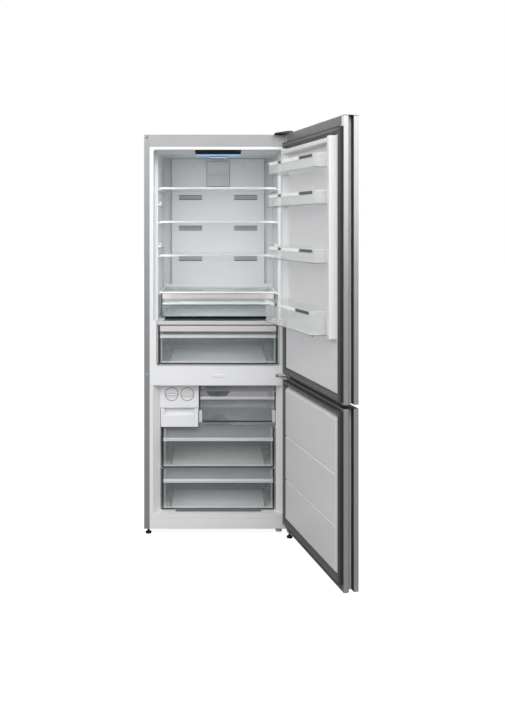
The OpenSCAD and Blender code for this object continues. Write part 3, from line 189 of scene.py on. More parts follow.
@dataclass(frozen=True)
class Finish:
    """One real material with the surface that its making leaves.

    Attributes:
        name: The material's name.
        slot: The record's material slot.
        colour: The main colour as sRGB hex.
        shade: The other colour of its slow variation.
        roughness: The middle roughness.
        grain_mm: The size of its finest visible grain.
        relief_mm: The height of that grain.
        patch_mm: The size of the patches in which the colour varies.
        drift_mm: The size of the patches in which the roughness varies.
        drift: How far the roughness varies either way.
    """

    name: str
    slot: str
    colour: str
    shade: str
    roughness: float
    grain_mm: float = 1.2
    relief_mm: float = 0.01
    patch_mm: float = 140.0
    drift_mm: float = 45.0
    drift: float = 0.05

    def material(self) -> bpy.types.Material:
        """Builds the material at its first use.

        Returns:
            The material, the same one each time.
        """
        made = bpy.data.materials.get(self.name)
        if made is None:
            made = bpy.data.materials.new(self.name)
            made.use_nodes = True
            tree = made.node_tree
            place = add_node(tree, "ShaderNodeTexCoord").outputs["Object"]
            self.dress(Surface(tree, tree.nodes["Principled BSDF"], place))
        return made

    def dress(self, on: Surface) -> None:
        """Adds the colour, the roughness and the relief of this finish.

        Args:
            on: The material's nodes.
        """
        self.vary_colour(on)
        self.vary_roughness(on)
        self.add_grain(on)

    def vary_colour(self, on: Surface) -> None:
        """Mixes the two colours in soft patches.

        Args:
            on: The material's nodes.
        """
        patches = {"Vector": on.place, "Scale": per_metre(self.patch_mm), "Detail": 2.0}
        share = add_node(on.tree, "ShaderNodeTexNoise", patches).outputs["Fac"]
        colours = {"Factor": share, MIX_A: linear(self.colour), MIX_B: linear(self.shade)}
        on.put("Base Color", add_node(on.tree, "ShaderNodeMix", colours, data_type="RGBA").outputs[MIX_OUT])

    def vary_roughness(self, on: Surface, pattern: Socket | None = None) -> None:
        """Lets the roughness drift either way, in patches or along a pattern.

        Args:
            on: The material's nodes.
            pattern: What the roughness follows instead of patches.
        """
        if pattern is None:
            patches = {"Vector": on.place, "Scale": per_metre(self.drift_mm), "Detail": 3.0}
            pattern = add_node(on.tree, "ShaderNodeTexNoise", patches).outputs["Fac"]
        reach = {
            "Value": pattern,
            "From Min": NOISE_LOW,
            "From Max": NOISE_HIGH,
            "To Min": max(0.0, self.roughness - self.drift),
            "To Max": min(1.0, self.roughness + self.drift),
        }
        on.put("Roughness", add_node(on.tree, "ShaderNodeMapRange", reach).outputs["Result"])

    def add_grain(self, on: Surface, pattern: Socket | None = None) -> None:
        """Raises a fine even grain, or a pattern.

        Args:
            on: The material's nodes.
            pattern: What is raised instead of the grain.
        """
        if pattern is None:
            grain = {"Vector": on.place, "Scale": per_metre(self.grain_mm), "Detail": 1.0}
            pattern = add_node(on.tree, "ShaderNodeTexNoise", grain).outputs["Fac"]
        relief = {"Height": pattern, "Strength": BUMP_STRENGTH, "Distance": self.relief_mm * MM}
        on.put("Normal", add_node(on.tree, "ShaderNodeBump", relief).outputs["Normal"])


@dataclass(frozen=True)
class MouldedPlastic(Finish):
    """Injection-moulded or vacuum-formed plastic: an even satin skin with a soft clear sheen.

    Attributes:
        coat: The strength of the sheen.
        shine: The specular level, 0.5 for common plastics.
        coat_blur: The sheen's roughness.
    """

    coat: float = 0.12
    shine: float = 0.5
    coat_blur: float = 0.15

    def dress(self, on: Surface) -> None:
        """Adds a thin glossy skin to the common look.

        Args:
            on: The material's nodes.
        """
        super().dress(on)
        on.put("IOR", 1.5)
        on.put("Specular IOR Level", self.shine)
        on.put("Coat Weight", self.coat)
        on.put("Coat Roughness", self.coat_blur)


@dataclass(frozen=True)
class ClearPlastic(Finish):
    """Clear polystyrene or toughened glass: see-through, and more of it is seen at a slant.

    Attributes:
        body: How much of the surface is seen, face on.
        rim: How much of it is seen at a slant.
        floor: How much is seen of a level face, painted pale as the light that falls on it.
        lit_floor_colour: That face's painted light colour as sRGB hex.
        tilt: The share of a normal that is upright, from where a face starts to count as level to where
            it does in full.
        shadow: How much of the lamps' light it holds back, as a share of what is seen of it.
    """

    body: float = 0.25
    rim: float = 0.85
    floor: float = 0.0
    lit_floor_colour: str = "#e6eaec"
    tilt: Span = (0.7, 0.95)
    shadow: float = 0.2

    def dress(self, on: Surface) -> None:
        """Lets light through, less of it at a slant, as a clear moulding does.

        Args:
            on: The material's nodes.
        """
        super().dress(on)
        on.put("IOR", 1.58)
        slant = add_node(on.tree, "ShaderNodeLayerWeight", {"Blend": 0.3}).outputs["Facing"]
        reach = {"Value": slant, "To Min": self.body, "To Max": self.rim}
        alpha = add_node(on.tree, "ShaderNodeMapRange", reach).outputs["Result"]
        if self.floor > 0:
            alpha = self.paint_floor_light(on, alpha)
        self.pass_light(on, alpha)

    def pass_light(self, on: Surface, alpha: Socket) -> None:
        """Lets most of the lamps' light through, so that a wall casts a faint shadow only.

        Args:
            on: The material's nodes.
            alpha: How much of the surface is seen.
        """
        path = add_node(on.tree, "ShaderNodeLightPath")
        reach = {"Value": path.outputs["Is Shadow Ray"], "To Min": 1.0, "To Max": self.shadow}
        kept = add_node(on.tree, "ShaderNodeMapRange", reach).outputs["Result"]
        seen = add_node(on.tree, "ShaderNodeMath", {0: alpha, 1: kept}, operation="MULTIPLY").outputs[0]
        on.put("Alpha", seen)

    def paint_floor_light(self, on: Surface, alpha: Socket) -> Socket:
        """Shows more of the faces that lie level, in a paler colour: painted light falling on them.

        Args:
            on: The material's nodes.
            alpha: How much is seen of the other faces.

        Returns:
            How much is seen of any face.
        """
        normal = add_node(on.tree, "ShaderNodeTexCoord").outputs["Normal"]
        upright = add_node(on.tree, "ShaderNodeSeparateXYZ", {"Vector": normal}).outputs["Z"]
        either_way = add_node(on.tree, "ShaderNodeMath", {0: upright}, operation="ABSOLUTE").outputs[0]
        reach = {"Value": either_way, "From Min": self.tilt[0], "From Max": self.tilt[1]}
        level = add_node(on.tree, "ShaderNodeMapRange", reach).outputs["Result"]
        colours = {"Factor": level, MIX_A: on.source("Base Color"), MIX_B: linear(self.lit_floor_colour)}
        on.put("Base Color", add_node(on.tree, "ShaderNodeMix", colours, data_type="RGBA").outputs[MIX_OUT])
        share = {"Value": level, "To Min": alpha, "To Max": self.floor}
        return add_node(on.tree, "ShaderNodeMapRange", share).outputs["Result"]


@dataclass(frozen=True)
class ShadedPlastic(ClearPlastic):
    """Clear plastic with painted shade under a drawer's lip: the shade thins out downwards.

    The piece's own attribute "shade" is 1 where the shade is full and 0 where it ends.

    Attributes:
        thinning: The power that the attribute is raised to, more than 1 to thin out sooner.
    """

    thinning: float = 1.6

    def pass_light(self, on: Surface, alpha: Socket) -> None:
        """Shows less of the surface where the attribute is low.

        Args:
            on: The material's nodes.
            alpha: How much of the surface is seen where the shade is full.
        """
        shade = add_node(on.tree, "ShaderNodeAttribute", attribute_name="shade").outputs["Fac"]
        power = {0: shade, 1: self.thinning}
        share = add_node(on.tree, "ShaderNodeMath", power, operation="POWER").outputs[0]
        seen = add_node(on.tree, "ShaderNodeMath", {0: alpha, 1: share}, operation="MULTIPLY").outputs[0]
        super().pass_light(on, seen)


@dataclass(frozen=True)
class Metal(Finish):
    """Bare or plated metal: the colour is in its reflections."""

    def dress(self, on: Surface) -> None:
        """Makes the common look metallic."""
        super().dress(on)
        on.put("Metallic", 1.0)


@dataclass(frozen=True)
class FlakePaint(Finish):
    """Silver paint: metal flakes in it mirror the light as well as scatter it.

    Attributes:
        flakes: How metallic the paint is.
    """

    flakes: float = 0.3

    def dress(self, on: Surface) -> None:
        """Makes the common look partly metallic."""
        super().dress(on)
        on.put("Metallic", self.flakes)


@dataclass(frozen=True)
class PaintedReflectionRail(Finish):
    """A metallised strip with painted reflections: grey painted where it would mirror a dark space, and a
    painted glow.

    Attributes:
        dark_reflection: The colour of the painted dark reflection, as sRGB hex.
        dark_reflections: Each painted dark reflection's ends along Y on the door as it stands open.
        fade: The width over which a painted dark reflection fades out at its ends.
        film: How metallic the film is.
        painted_glow: The strength of its painted glow, standing for the compartment's own light thrown back.
    """

    dark_reflection: str = "#55585a"
    dark_reflections: tuple[Span, ...] = ((-700.0, -470.0), (-250.0, -236.0))
    fade: float = 22.0
    film: float = 0.3
    painted_glow: float = 0.2

    def dress(self, on: Surface) -> None:
        """Mixes the painted dark reflection's colour into the film's between each stretch's ends, and adds
        the painted glow.

        Args:
            on: The material's nodes.
        """
        super().dress(on)
        along = add_node(on.tree, "ShaderNodeSeparateXYZ", {"Vector": on.place}).outputs["Y"]
        colour = on.source("Base Color")
        for low, high in self.dark_reflections:
            middle = (low + high) / 2 * MM
            half = (high - low) / 2 * MM
            away = add_node(on.tree, "ShaderNodeMath", {0: along, 1: middle}, operation="SUBTRACT").outputs[0]
            apart = add_node(on.tree, "ShaderNodeMath", {0: away}, operation="ABSOLUTE").outputs[0]
            end = half + self.fade * MM
            reach = {"Value": apart, "From Min": half, "From Max": end, "To Min": 1.0, "To Max": 0.0}
            share = add_node(on.tree, "ShaderNodeMapRange", reach).outputs["Result"]
            colours = {"Factor": share, MIX_A: colour, MIX_B: linear(self.dark_reflection)}
            colour = add_node(on.tree, "ShaderNodeMix", colours, data_type="RGBA").outputs[MIX_OUT]
        on.put("Base Color", colour)
        on.put("Metallic", self.film)
        on.put("Emission Color", colour)
        on.put("Emission Strength", self.painted_glow)


@dataclass(frozen=True)
class BrushedMetal(Finish):
    """Sheet ground with a belt along one direction: long fine streaks.

    Attributes:
        turn: The angle round Z that brings the streaks' X axis onto the frame's, in radians.
        streak_mm: How long a streak is.
        metallic: One for bare metal, less for a film-coated sheet.
    """

    patch_mm: float = 300.0
    drift: float = 0.08
    turn: float = 0.0
    streak_mm: float = 60.0
    metallic: float = 0.3

    def dress(self, on: Surface) -> None:
        """Stretches the grain along the sheet's X axis, for the roughness and the relief alike.

        Args:
            on: The material's nodes.
        """
        turn = {"Vector": on.place, "Rotation": (0.0, 0.0, -self.turn)}
        turned = add_node(on.tree, "ShaderNodeMapping", turn).outputs["Vector"]
        stretch = {"Vector": turned, "Scale": (self.grain_mm / self.streak_mm, 1.0, 1.0)}
        along = add_node(on.tree, "ShaderNodeMapping", stretch).outputs["Vector"]
        grain = {"Vector": along, "Scale": per_metre(self.grain_mm), "Detail": 3.0}
        streaks = add_node(on.tree, "ShaderNodeTexNoise", grain).outputs["Fac"]
        self.vary_colour(on)
        self.vary_roughness(on, streaks)
        self.add_grain(on, streaks)
        on.put("Metallic", self.metallic)


@dataclass(frozen=True)
class LampPlastic(Finish):
    """Opal plastic over a lamp: it glows a little.

    Attributes:
        glow: The strength of its light.
    """

    glow: float = 0.42

    def dress(self, on: Surface) -> None:
        """Adds the lamp's light to the common look."""
        super().dress(on)
        on.put("Emission Color", linear(self.colour))
        on.put("Emission Strength", self.glow)


# Finishes. The brushed streaks, the moulds' texture and the foam's cells are drawn some three times
# coarser than real ones, which would be finer than a pixel

# Coil-coated steel: silver lacquer rolled on flat sheet before it is bent, an even satin grey
CASE_PAINT = FlakePaint(
    "case_coil_coated_steel", "silver_case", "#9a9c9e", "#919395", 0.4, 0.9, 0.006, flakes=0.32
)
TRIM_PAINT = FlakePaint(
    "trim_coated_steel", "silver_trim", "#9fa0a0", "#98999a", 0.38, 0.9, 0.006, flakes=0.3
)
# Galvanised sheet: dipped in zinc, whose crystals leave it a patchy dull grey
ZINC_SHEET = Finish("rear_galvanised_sheet", "zinc_sheet", "#8f9294", "#7f8284", 0.45, 6.0, 0.02)
# Vacuum-formed polystyrene: drawn hot over a mould, so it is smooth and softly shiny all over
LINER_PLASTIC = MouldedPlastic(
    "liner_vacuum_formed_polystyrene",
    "white_liner",
    "#e9e9ea",
    "#e5e6e7",
    0.38,
    3.0,
    0.003,
    coat=0.08,
    shine=0.4,
)
DOOR_LINER_PLASTIC = replace(
    LINER_PLASTIC,
    name="door_liner_vacuum_formed_polystyrene",
    colour="#e6e6e7",
    shade="#e1e1e2",
    roughness=0.42,
    coat=0.05,
    shine=0.35,
)
# Moulded polystyrene: pressed in a polished mould, so its edges are crisp and bright
WHITE_PLASTIC = MouldedPlastic(
    "white_moulded_polystyrene", "white_plastic", "#ecedee", "#e7e8ea", 0.35, 1.5, 0.003
)
# The deck's frame: the white moulding painted darker, as painted shade
DECK_PLASTIC = replace(WHITE_PLASTIC, name="deck_polystyrene_painted_shade", colour="#cdd0d1", shade="#c7cacb")
# Moulded ABS: the mould's fine spark-eroded texture dulls its shine
# A grey base round each ice knob's rib: painted shadow along the rib's edges
RIB_SHADOW_GREY = MouldedPlastic(
    "knob_rib_painted_shadow_abs", "grey_plastic", "#8f9192", "#868889", 0.5, 0.8, 0.01, coat=0.05
)
FILTER_PLASTIC = MouldedPlastic(
    "filter_box_moulded_abs", "grey_plastic", "#dbdad9", "#d5d4d3", 0.42, 0.8, 0.005, coat=0.1
)
FILTER_LIGHT = replace(FILTER_PLASTIC, name="filter_tray_moulded_abs", colour="#cfcfd1", shade="#c9cacb")
LOUVRE_PLASTIC = replace(FILTER_PLASTIC, name="sensor_cover_moulded_abs", colour="#a8acae", shade="#a2a6a8")
CAP_PLASTIC = MouldedPlastic(
    "door_cap_moulded_abs", "cap_plastic", "#7c7979", "#747171", 0.55, 0.8, 0.01, coat=0.0, shine=0.3
)
# Extruded ABS: drawn through a die, so it is matt and even along its length
GRIP_PLASTIC = MouldedPlastic(
    "grip_extruded_abs", "dark_plastic", "#2e2a29", "#262323", 0.5, 0.8, 0.01, coat=0.0, shine=0.3
)
GRIP_FLOOR = MouldedPlastic(
    "grip_floor_extruded_abs", "grey_plastic", "#d3d1d1", "#cbc9c9", 0.45, 0.8, 0.008, coat=0.0, shine=0.3
)
# Moulded polypropylene: waxy, so it is dull even where the mould was smooth
DARK_PLASTIC = MouldedPlastic(
    "dark_moulded_polypropylene", "dark_plastic", "#3a3c3e", "#303234", 0.55, 0.8, 0.015, coat=0.0
)
GRILLE_PLASTIC = MouldedPlastic(
    "grille_moulded_polypropylene", "dark_plastic", "#191818", "#131212", 0.6, 0.8, 0.01, coat=0.0, shine=0.2
)
# Painted shadow: dark grey where hardly any light comes back, in the gap round a drawer's front and in the
# open joint round the duct cover and the filter box
EDGE_SHADE = MouldedPlastic(
    "drawer_gap_painted_shadow", "dark_plastic", "#23292c", "#1e2326", 0.3, 2.0, 0.003, coat=0.05
)
SEAM_SHADE = MouldedPlastic(
    "joint_painted_shadow", "grey_plastic", "#8d979c", "#868f94", 0.6, 0.8, 0.005, coat=0.0, shine=0.2
)
# Painted shade: a grey plate, quite without shine, for the shade inside the duct behind the vents
VENT_SHADE = MouldedPlastic(
    "duct_interior_painted_shade", "dark_plastic", "#6e7275", "#65696c", 0.7, 2.0, 0.02, coat=0.0, shine=0.2
)
# Acrylic printed black from behind: dark, and flat enough that it mirrors only what it faces
BLACK_PANEL = MouldedPlastic(
    "panel_printed_acrylic", "black_panel", "#06080c", "#040609", 0.5, 3.0, 0.002, coat=0.0, shine=0.02
)
# Opal acrylic: milky, lit evenly blue by the lamp behind it
LAMP_COVER = LampPlastic("lamp_opal_acrylic", "lamp", "#8fbcec", "#86b4e6", 0.35, 1.0, 0.005)
# Blown polyurethane: fine open cells where it is cut, a dark smooth film where it meets a door's edge
FOAM = Finish("insulating_polyurethane_foam", "foam", "#e9dfb8", "#d9cc9c", 0.9, 1.5, 0.4)
DOOR_FOAM = Finish("door_foam_in_barrier_film", "foam", "#3a3735", "#33302f", 0.6, 1.5, 0.1)
# Toughened float glass: flat and clean, greenish at a slant; the freezer's and the deck's panes are painted
# grey as shade from the dark space under them
PANE = ClearPlastic(
    "shelf_toughened_glass", "pane", "#dfeeee", "#d3e6e6", 0.06, 40.0, 0.002, body=0.07, rim=0.5
)
SHELF_PANE = ClearPlastic(
    "freezer_toughened_glass", "pane", "#999d9e", "#909495", 0.05, 40.0, 0.001, body=0.3, rim=0.8
)
DECK_PANE = ClearPlastic(
    "deck_toughened_glass", "pane", "#5d6d72", "#536368", 0.08, 40.0, 0.002, body=0.3, rim=0.9
)
# Clear polystyrene, moulded thin: upright walls nearly vanish, and level ones are painted pale as the light
# that falls on them
CLEAR_PLASTIC = ClearPlastic(
    "drawer_clear_polystyrene", "clear_plastic", "#c0cacf", "#b9c3c8", 0.12, 6.0, 0.003, body=0.12, rim=0.5,
    floor=1.0, lit_floor_colour="#f4f6f7",
)
SMOKED_PLASTIC = ClearPlastic(
    "freezer_clear_polystyrene", "smoked_plastic", "#bbbdbe", "#b4b6b7", 0.14, 6.0, 0.003, body=0.14, rim=0.5,
    floor=1.0, lit_floor_colour="#f1f3f4",
)
BIN_PLASTIC = ClearPlastic(
    "bin_clear_polystyrene", "clear_plastic", "#f2f3f3", "#eceeee", 0.12, 6.0, 0.003, body=0.1, rim=0.5
)
# Painted highlight: the same plastic made paler where a thick rib or an edge gathers light, on the drawers'
# lips, the bins' top rims and the drawers' inner edges. SHELF_EDGE is the shelves' thick front trims
LIP_PLASTIC = ClearPlastic(
    "lip_painted_highlight", "clear_plastic", "#e8eaeb", "#e1e3e4", 0.2, 6.0, 0.003, body=0.68, rim=0.92
)
GLINT_PLASTIC = replace(
    LIP_PLASTIC, name="drawer_inner_edge_painted_highlight", colour="#f0f2f3", shade="#e9ebec", body=0.32, rim=0.6
)
SHELF_EDGE = ClearPlastic(
    "shelf_edge_polystyrene", "clear_plastic", "#d3d6d7", "#cdd0d1", 0.3, 3.0, 0.003, body=0.85, rim=0.97
)
# Painted shade: the same plastic made darker where it stands before a dark space or leans away from the
# light, on the band under a drawer's bar, its leaning sides and finger grip, the bins' foot rims and under a
# drawer's lip
BAND_PLASTIC = replace(
    LIP_PLASTIC, name="drawer_band_painted_shade", colour="#a9adb0", shade="#a1a6a8", body=0.5, rim=0.8
)
WEB_PLASTIC = replace(
    LIP_PLASTIC, name="drawer_side_painted_shade", colour="#6f7578", shade="#676d70", body=0.4, rim=0.7
)
GRIP_CLEAR = replace(
    LIP_PLASTIC, name="drawer_grip_painted_shade", colour="#6e7275", shade="#676b6e", body=0.85, rim=0.95
)
RIM_PLASTIC = ClearPlastic(
    "bin_foot_rim_painted_shade", "clear_plastic", "#74787a", "#6d7173", 0.15, 6.0, 0.003, body=0.6, rim=0.9
)
UNDER_LIP = ShadedPlastic(
    "drawer_lip_painted_shade", "clear_plastic", "#62686b", "#5b6164", 0.2, 6.0, 0.003, body=0.52, rim=0.74
)
# Moulded rubber and extruded soft vinyl: matt, with a fine powdery bloom
FOOT_RUBBER = Finish("foot_moulded_rubber", "foot_rubber", "#1d1d1f", "#161617", 0.7, 0.7, 0.03)
SEAL_RUBBER = Finish("seal_extruded_vinyl", "seal_rubber", "#6e6a69", "#666362", 0.6, 0.7)
# A darker copy of the vinyl: painted shade on the gasket's folded side
SEAL_SHADE = Finish("seal_vinyl_painted_shade", "seal_rubber", "#454241", "#3f3c3b", 0.7, 0.7)
# Drawn copper tube and rolled aluminium fin: bare, with fine marks of the die and the rolls
COPPER = Metal("copper_drawn_tube", "copper", "#b8704a", "#a3603d", 0.35, 1.0)
FIN_ALUMINIUM = Metal("evaporator_rolled_aluminium", "fin_aluminium", "#c9ccce", "#bcbfc2", 0.4, 1.0)
# Brushed and anodised aluminium: a clear hard layer softens the streaks and the mirror
# The bars are one aluminium in two tones: the chiller's painted darker as shade, the crisper's paler as
# light, for how the lamps fall on each
BAR_ALUMINIUM = BrushedMetal(
    "chiller_bar_anodised_aluminium_painted_shade", "bar_aluminium", "#bdbbb9", "#b5b3b1", 0.42, 0.5, 0.004
)
CRISPER_ALUMINIUM = replace(
    BAR_ALUMINIUM, name="crisper_bar_anodised_aluminium_painted_light", colour="#dddbd9", shade="#d5d3d1"
)
# Strip metallised behind clear plastic: bright, smooth and a little wavy, with painted dark reflections along
# parts of it and a painted glow
RAIL_CHROME = PaintedReflectionRail("bin_rail_strip_painted_reflections", "rail_chrome", "#fcfcfb", "#f7f7f6", 0.14, 8.0, 0.002)
# Stainless steel ground along the door's width, under a thin film against finger marks
DOOR_STEEL = BrushedMetal(
    "door_brushed_stainless_steel", "door_steel", "#cfd0d1", "#c6c7c9", 0.34, 0.6, 0.006, turn=REST_ANGLE,
    streak_mm=45.0, metallic=0.66,
)
# Pressed steel: zinc-plated and pale, or blackened in a phosphate bath
HINGE_STEEL = BrushedMetal(
    "hinge_pressed_zinc_plated_steel", "hinge_steel", "#d2d2d2", "#c5c6c6", 0.36, 0.7, 0.01, streak_mm=20.0
)
DARK_STEEL = Finish("hinge_black_phosphated_steel", "dark_steel", "#4b4d4f", "#3f4143", 0.45, 0.8, 0.02)
SCREW_STEEL = Metal("screw_black_oxide_steel", "screw_steel", "#4c4e50", "#3f4143", 0.4, 0.6)
# Stove enamel: dipped and baked, so it is black and shiny with soft sags
COMPRESSOR_PAINT = Finish(
    "compressor_stove_enamel", "compressor_black", "#1c1e20", "#141618", 0.42, 1.5, 0.02
)


# Shapes


def lattice(rows: int, cols: int, wrap_rows: bool = False, wrap_cols: bool = False) -> list[list[int]]:
    """Joins a grid of rows by cols points with quads.

    Args:
        rows: How many rings of points there are.
        cols: How many points a ring has.
        wrap_rows: Whether the last ring joins the first.
        wrap_cols: Whether a ring's last point joins its first.

    Returns:
        The quads as lists of point numbers, row * cols + col.
    """
    row, col = np.meshgrid(
        np.arange(rows if wrap_rows else rows - 1), np.arange(cols if wrap_cols else cols - 1), indexing="ij"
    )
    next_row = (row + 1) % rows
    next_col = (col + 1) % cols
    corners = [row * cols + col, row * cols + next_col, next_row * cols + next_col, next_row * cols + col]
    return np.stack(corners, axis=-1).reshape(-1, 4).tolist()


def end_caps(rows: int, cols: int) -> list[list[int]]:
    """Closes the first and the last ring of a stack of rings with one face each."""
    return [list(range(cols)), list(range((rows - 1) * cols, rows * cols))]


def rounded_outline(span: Span, rise: Span, radius: float, inset: float, steps: int = 6) -> np.ndarray:
    """Gives a rectangle with round corners, drawn in by inset.

    Each corner's centre stays; its points are the centre plus (radius - inset) times the cosine and
    sine of an angle that runs through a quarter turn.

    Args:
        span: The rectangle's ends across.
        rise: Its ends upwards.
        radius: The corner radius before the inset.
        inset: How far the outline is drawn in.
        steps: How many points a corner has.

    Returns:
        An array of points, one row each.
    """
    quarter = np.linspace(0.0, np.pi / 2, steps)
    left, right = span[0] + radius, span[1] - radius
    low, high = rise[0] + radius, rise[1] - radius
    centres = np.array([[right, high], [left, high], [left, low], [right, low]])
    turns = quarter[None, :] + (np.arange(4) * np.pi / 2)[:, None]
    arcs = np.stack([np.cos(turns), np.sin(turns)], axis=-1)
    return (centres[:, None, :] + (radius - inset) * arcs).reshape(-1, 2)


def place(points: np.ndarray, facing: Facing) -> np.ndarray:
    """Lays points along the frame's axes.

    Args:
        points: One row for each point, as across, up and depth.
        facing: Which axes those lie on.

    Returns:
        The points as X, Y and Z.
    """
    laid = np.empty_like(points)
    for own, axis in enumerate(facing.value):
        laid[..., axis] = points[..., own]
    return laid


@dataclass
class Shell:
    """A closed surface made of points and faces, in millimetres.

    Attributes:
        points: One row for each point.
        faces: Lists of point numbers.
    """

    points: np.ndarray
    faces: list[list[int]]

    def joined(self, others: Sequence[Shell]) -> Shell:
        """Puts this shell and the others in one.

        Args:
            others: The other shells.

        Returns:
            One shell with all their points and faces.
        """
        points = [self.points]
        faces = list(self.faces)
        start = len(self.points)
        for other in others:
            points.append(other.points)
            faces.extend([[number + start for number in face] for face in other.faces])
            start += len(other.points)
        return Shell(np.concatenate(points), faces)

    def turned_open(self) -> Shell:
        """Turns a shell drawn on the closed door round the hinge axis to where the door stands.

        Returns:
            The shell on the open door.
        """
        cos, sin = math.cos(REST_ANGLE), math.sin(REST_ANGLE)
        turned = self.points.copy()
        turned[:, 0] = self.points[:, 0] * cos - self.points[:, 1] * sin
        turned[:, 1] = self.points[:, 0] * sin + self.points[:, 1] * cos
        return Shell(turned, self.faces)

    def make(self, name: str, finish: Finish, body: str, crease_degrees: float = 35.0) -> bpy.types.Object:
        """Makes the mesh, faces it outwards and lets it ride on its body.

        Args:
            name: The piece's name.
            finish: Its material.
            body: The CAD body that it moves with.
            crease_degrees: The angle from which an edge stays sharp.

        Returns:
            The new object.
        """
        mesh = bpy.data.meshes.new(name)
        mesh.from_pydata((self.points * MM).tolist(), [], self.faces)
        work = bmesh.new()
        work.from_mesh(mesh)
        bmesh.ops.remove_doubles(work, verts=work.verts, dist=1e-7)
        bmesh.ops.recalc_face_normals(work, faces=work.faces)
        work.to_mesh(mesh)
        work.free()
        mesh.shade_smooth()
        mesh.set_sharp_from_angle(angle=math.radians(crease_degrees))
        mesh.materials.append(finish.material())
        made = bpy.data.objects.new(name, mesh)
        bpy.context.scene.collection.objects.link(made)
        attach(made, body)
        LOG.info("made %s", name)
        return made


def join_shells(shells: Sequence[Shell]) -> Shell:
    """Puts several shells in one."""
    return shells[0].joined(shells[1:])


def slab(
    span: Span, rise: Span, depth: Span, radius: float, fillet: float, facing: Facing = Facing.FRONT
) -> Shell:
    """Makes a plate with round corners and rounded rims.

    The outline's inset and depth follow a quarter circle of the fillet's radius at both faces:
    inset = fillet * (1 - sine), depth = face + fillet * (1 - cosine).

    Args:
        span: Its ends across.
        rise: Its ends upwards.
        depth: Its two faces.
        radius: The corner radius, more than the fillet.
        fillet: The rim's radius.
        facing: How the plate lies.

    Returns:
        The closed shell.
    """
    angles = np.linspace(0.0, np.pi / 2, 4)
    insets = fillet * (1 - np.sin(angles))
    steps_in = fillet * (1 - np.cos(angles))
    rings = list(zip(insets, depth[0] + steps_in))
    rings += list(zip(insets[::-1], (depth[1] - steps_in)[::-1]))
    stacked = []
    for inset, level in rings:
        outline = rounded_outline(span, rise, radius, inset)
        stacked.append(np.column_stack([outline, np.full(len(outline), level)]))
    cols = len(stacked[0])
    faces = lattice(len(rings), cols, wrap_cols=True) + end_caps(len(rings), cols)
    return Shell(place(np.concatenate(stacked), facing), faces)


def prism(outline: Sequence[Span] | np.ndarray, low: float, high: float, facing: Facing) -> Shell:
    """Carries a closed outline straight from low to high.

    Args:
        outline: Its points as across and up.
        low: The depth at which it starts.
        high: The depth at which it ends.
        facing: How it lies.

    Returns:
        The closed shell.
    """
    cols = len(outline)
    rings = [np.column_stack([outline, np.full(cols, level)]) for level in (low, high)]
    return Shell(place(np.concatenate(rings), facing), lattice(2, cols, wrap_cols=True) + end_caps(2, cols))


def picture_frame(
    span: Span, rise: Span, profile: np.ndarray, facing: Facing = Facing.FRONT, open_top: bool = False
) -> Shell:
    """Carries a closed profile round a rectangle with mitred corners.

    Each profile point is (inset, depth). At a corner it stands inset from both sides of the rectangle.

    Args:
        span: The rectangle's ends across.
        rise: Its ends upwards.
        profile: The profile's points.
        facing: How the rectangle lies.
        open_top: Whether the top side is left out and both uprights are cut square.

    Returns:
        The closed shell.
    """
    insets, depths = profile[:, 0], profile[:, 1]
    top = np.zeros_like(insets) if open_top else insets
    corners = [
        (span[0] + insets, rise[1] - top),
        (span[0] + insets, rise[0] + insets),
        (span[1] - insets, rise[0] + insets),
        (span[1] - insets, rise[1] - top),
    ]
    points = np.concatenate([np.column_stack([across, up, depths]) for across, up in corners])
    faces = lattice(4, len(profile), wrap_rows=not open_top, wrap_cols=True)
    if open_top:
        faces += end_caps(4, len(profile))
    return Shell(place(points, facing), faces)


def edge_profile(width: float, front: float, back: float, fillet: float = 0.3) -> np.ndarray:
    """Gives a flat bar's profile for a picture frame, its two front edges cut at 45 degrees.

    Args:
        width: The bar's width.
        front: The depth of its front.
        back: The depth of its back.
        fillet: How far the cuts reach.

    Returns:
        The profile's points as (inset, depth).
    """
    half = [(0.0, back), (0.0, front + fillet), (fillet, front)]
    return np.array(half + [(width - inset, depth) for inset, depth in reversed(half)])


def lathe(profile: Sequence[Span], centre: Point, facing: Facing = Facing.FRONT, steps: int = 32) -> Shell:
    """Turns a closed profile about the depth axis through centre.

    Each profile point is (radius, depth) and becomes a ring: across = radius * cosine,
    up = radius * sine. A profile that starts and ends on the axis closes by itself.

    Args:
        profile: The profile's points.
        centre: Where the axis meets the depth from which the profile is measured.
        facing: Which way the axis lies.
        steps: How many points a ring has.

    Returns:
        The closed shell.
    """
    turns = np.linspace(0.0, 2 * np.pi, steps, endpoint=False)
    data = np.array(profile)
    radii, depths = data[:, 0][:, None], data[:, 1][:, None]
    rings = [radii * np.cos(turns), radii * np.sin(turns), np.broadcast_to(depths, (len(data), steps))]
    points = place(np.stack(rings, axis=-1).reshape(-1, 3), facing) + np.array(centre)
    closed_ring = min(data[0, 0], data[-1, 0]) > 0
    return Shell(points, lattice(len(data), steps, wrap_rows=closed_ring, wrap_cols=True))


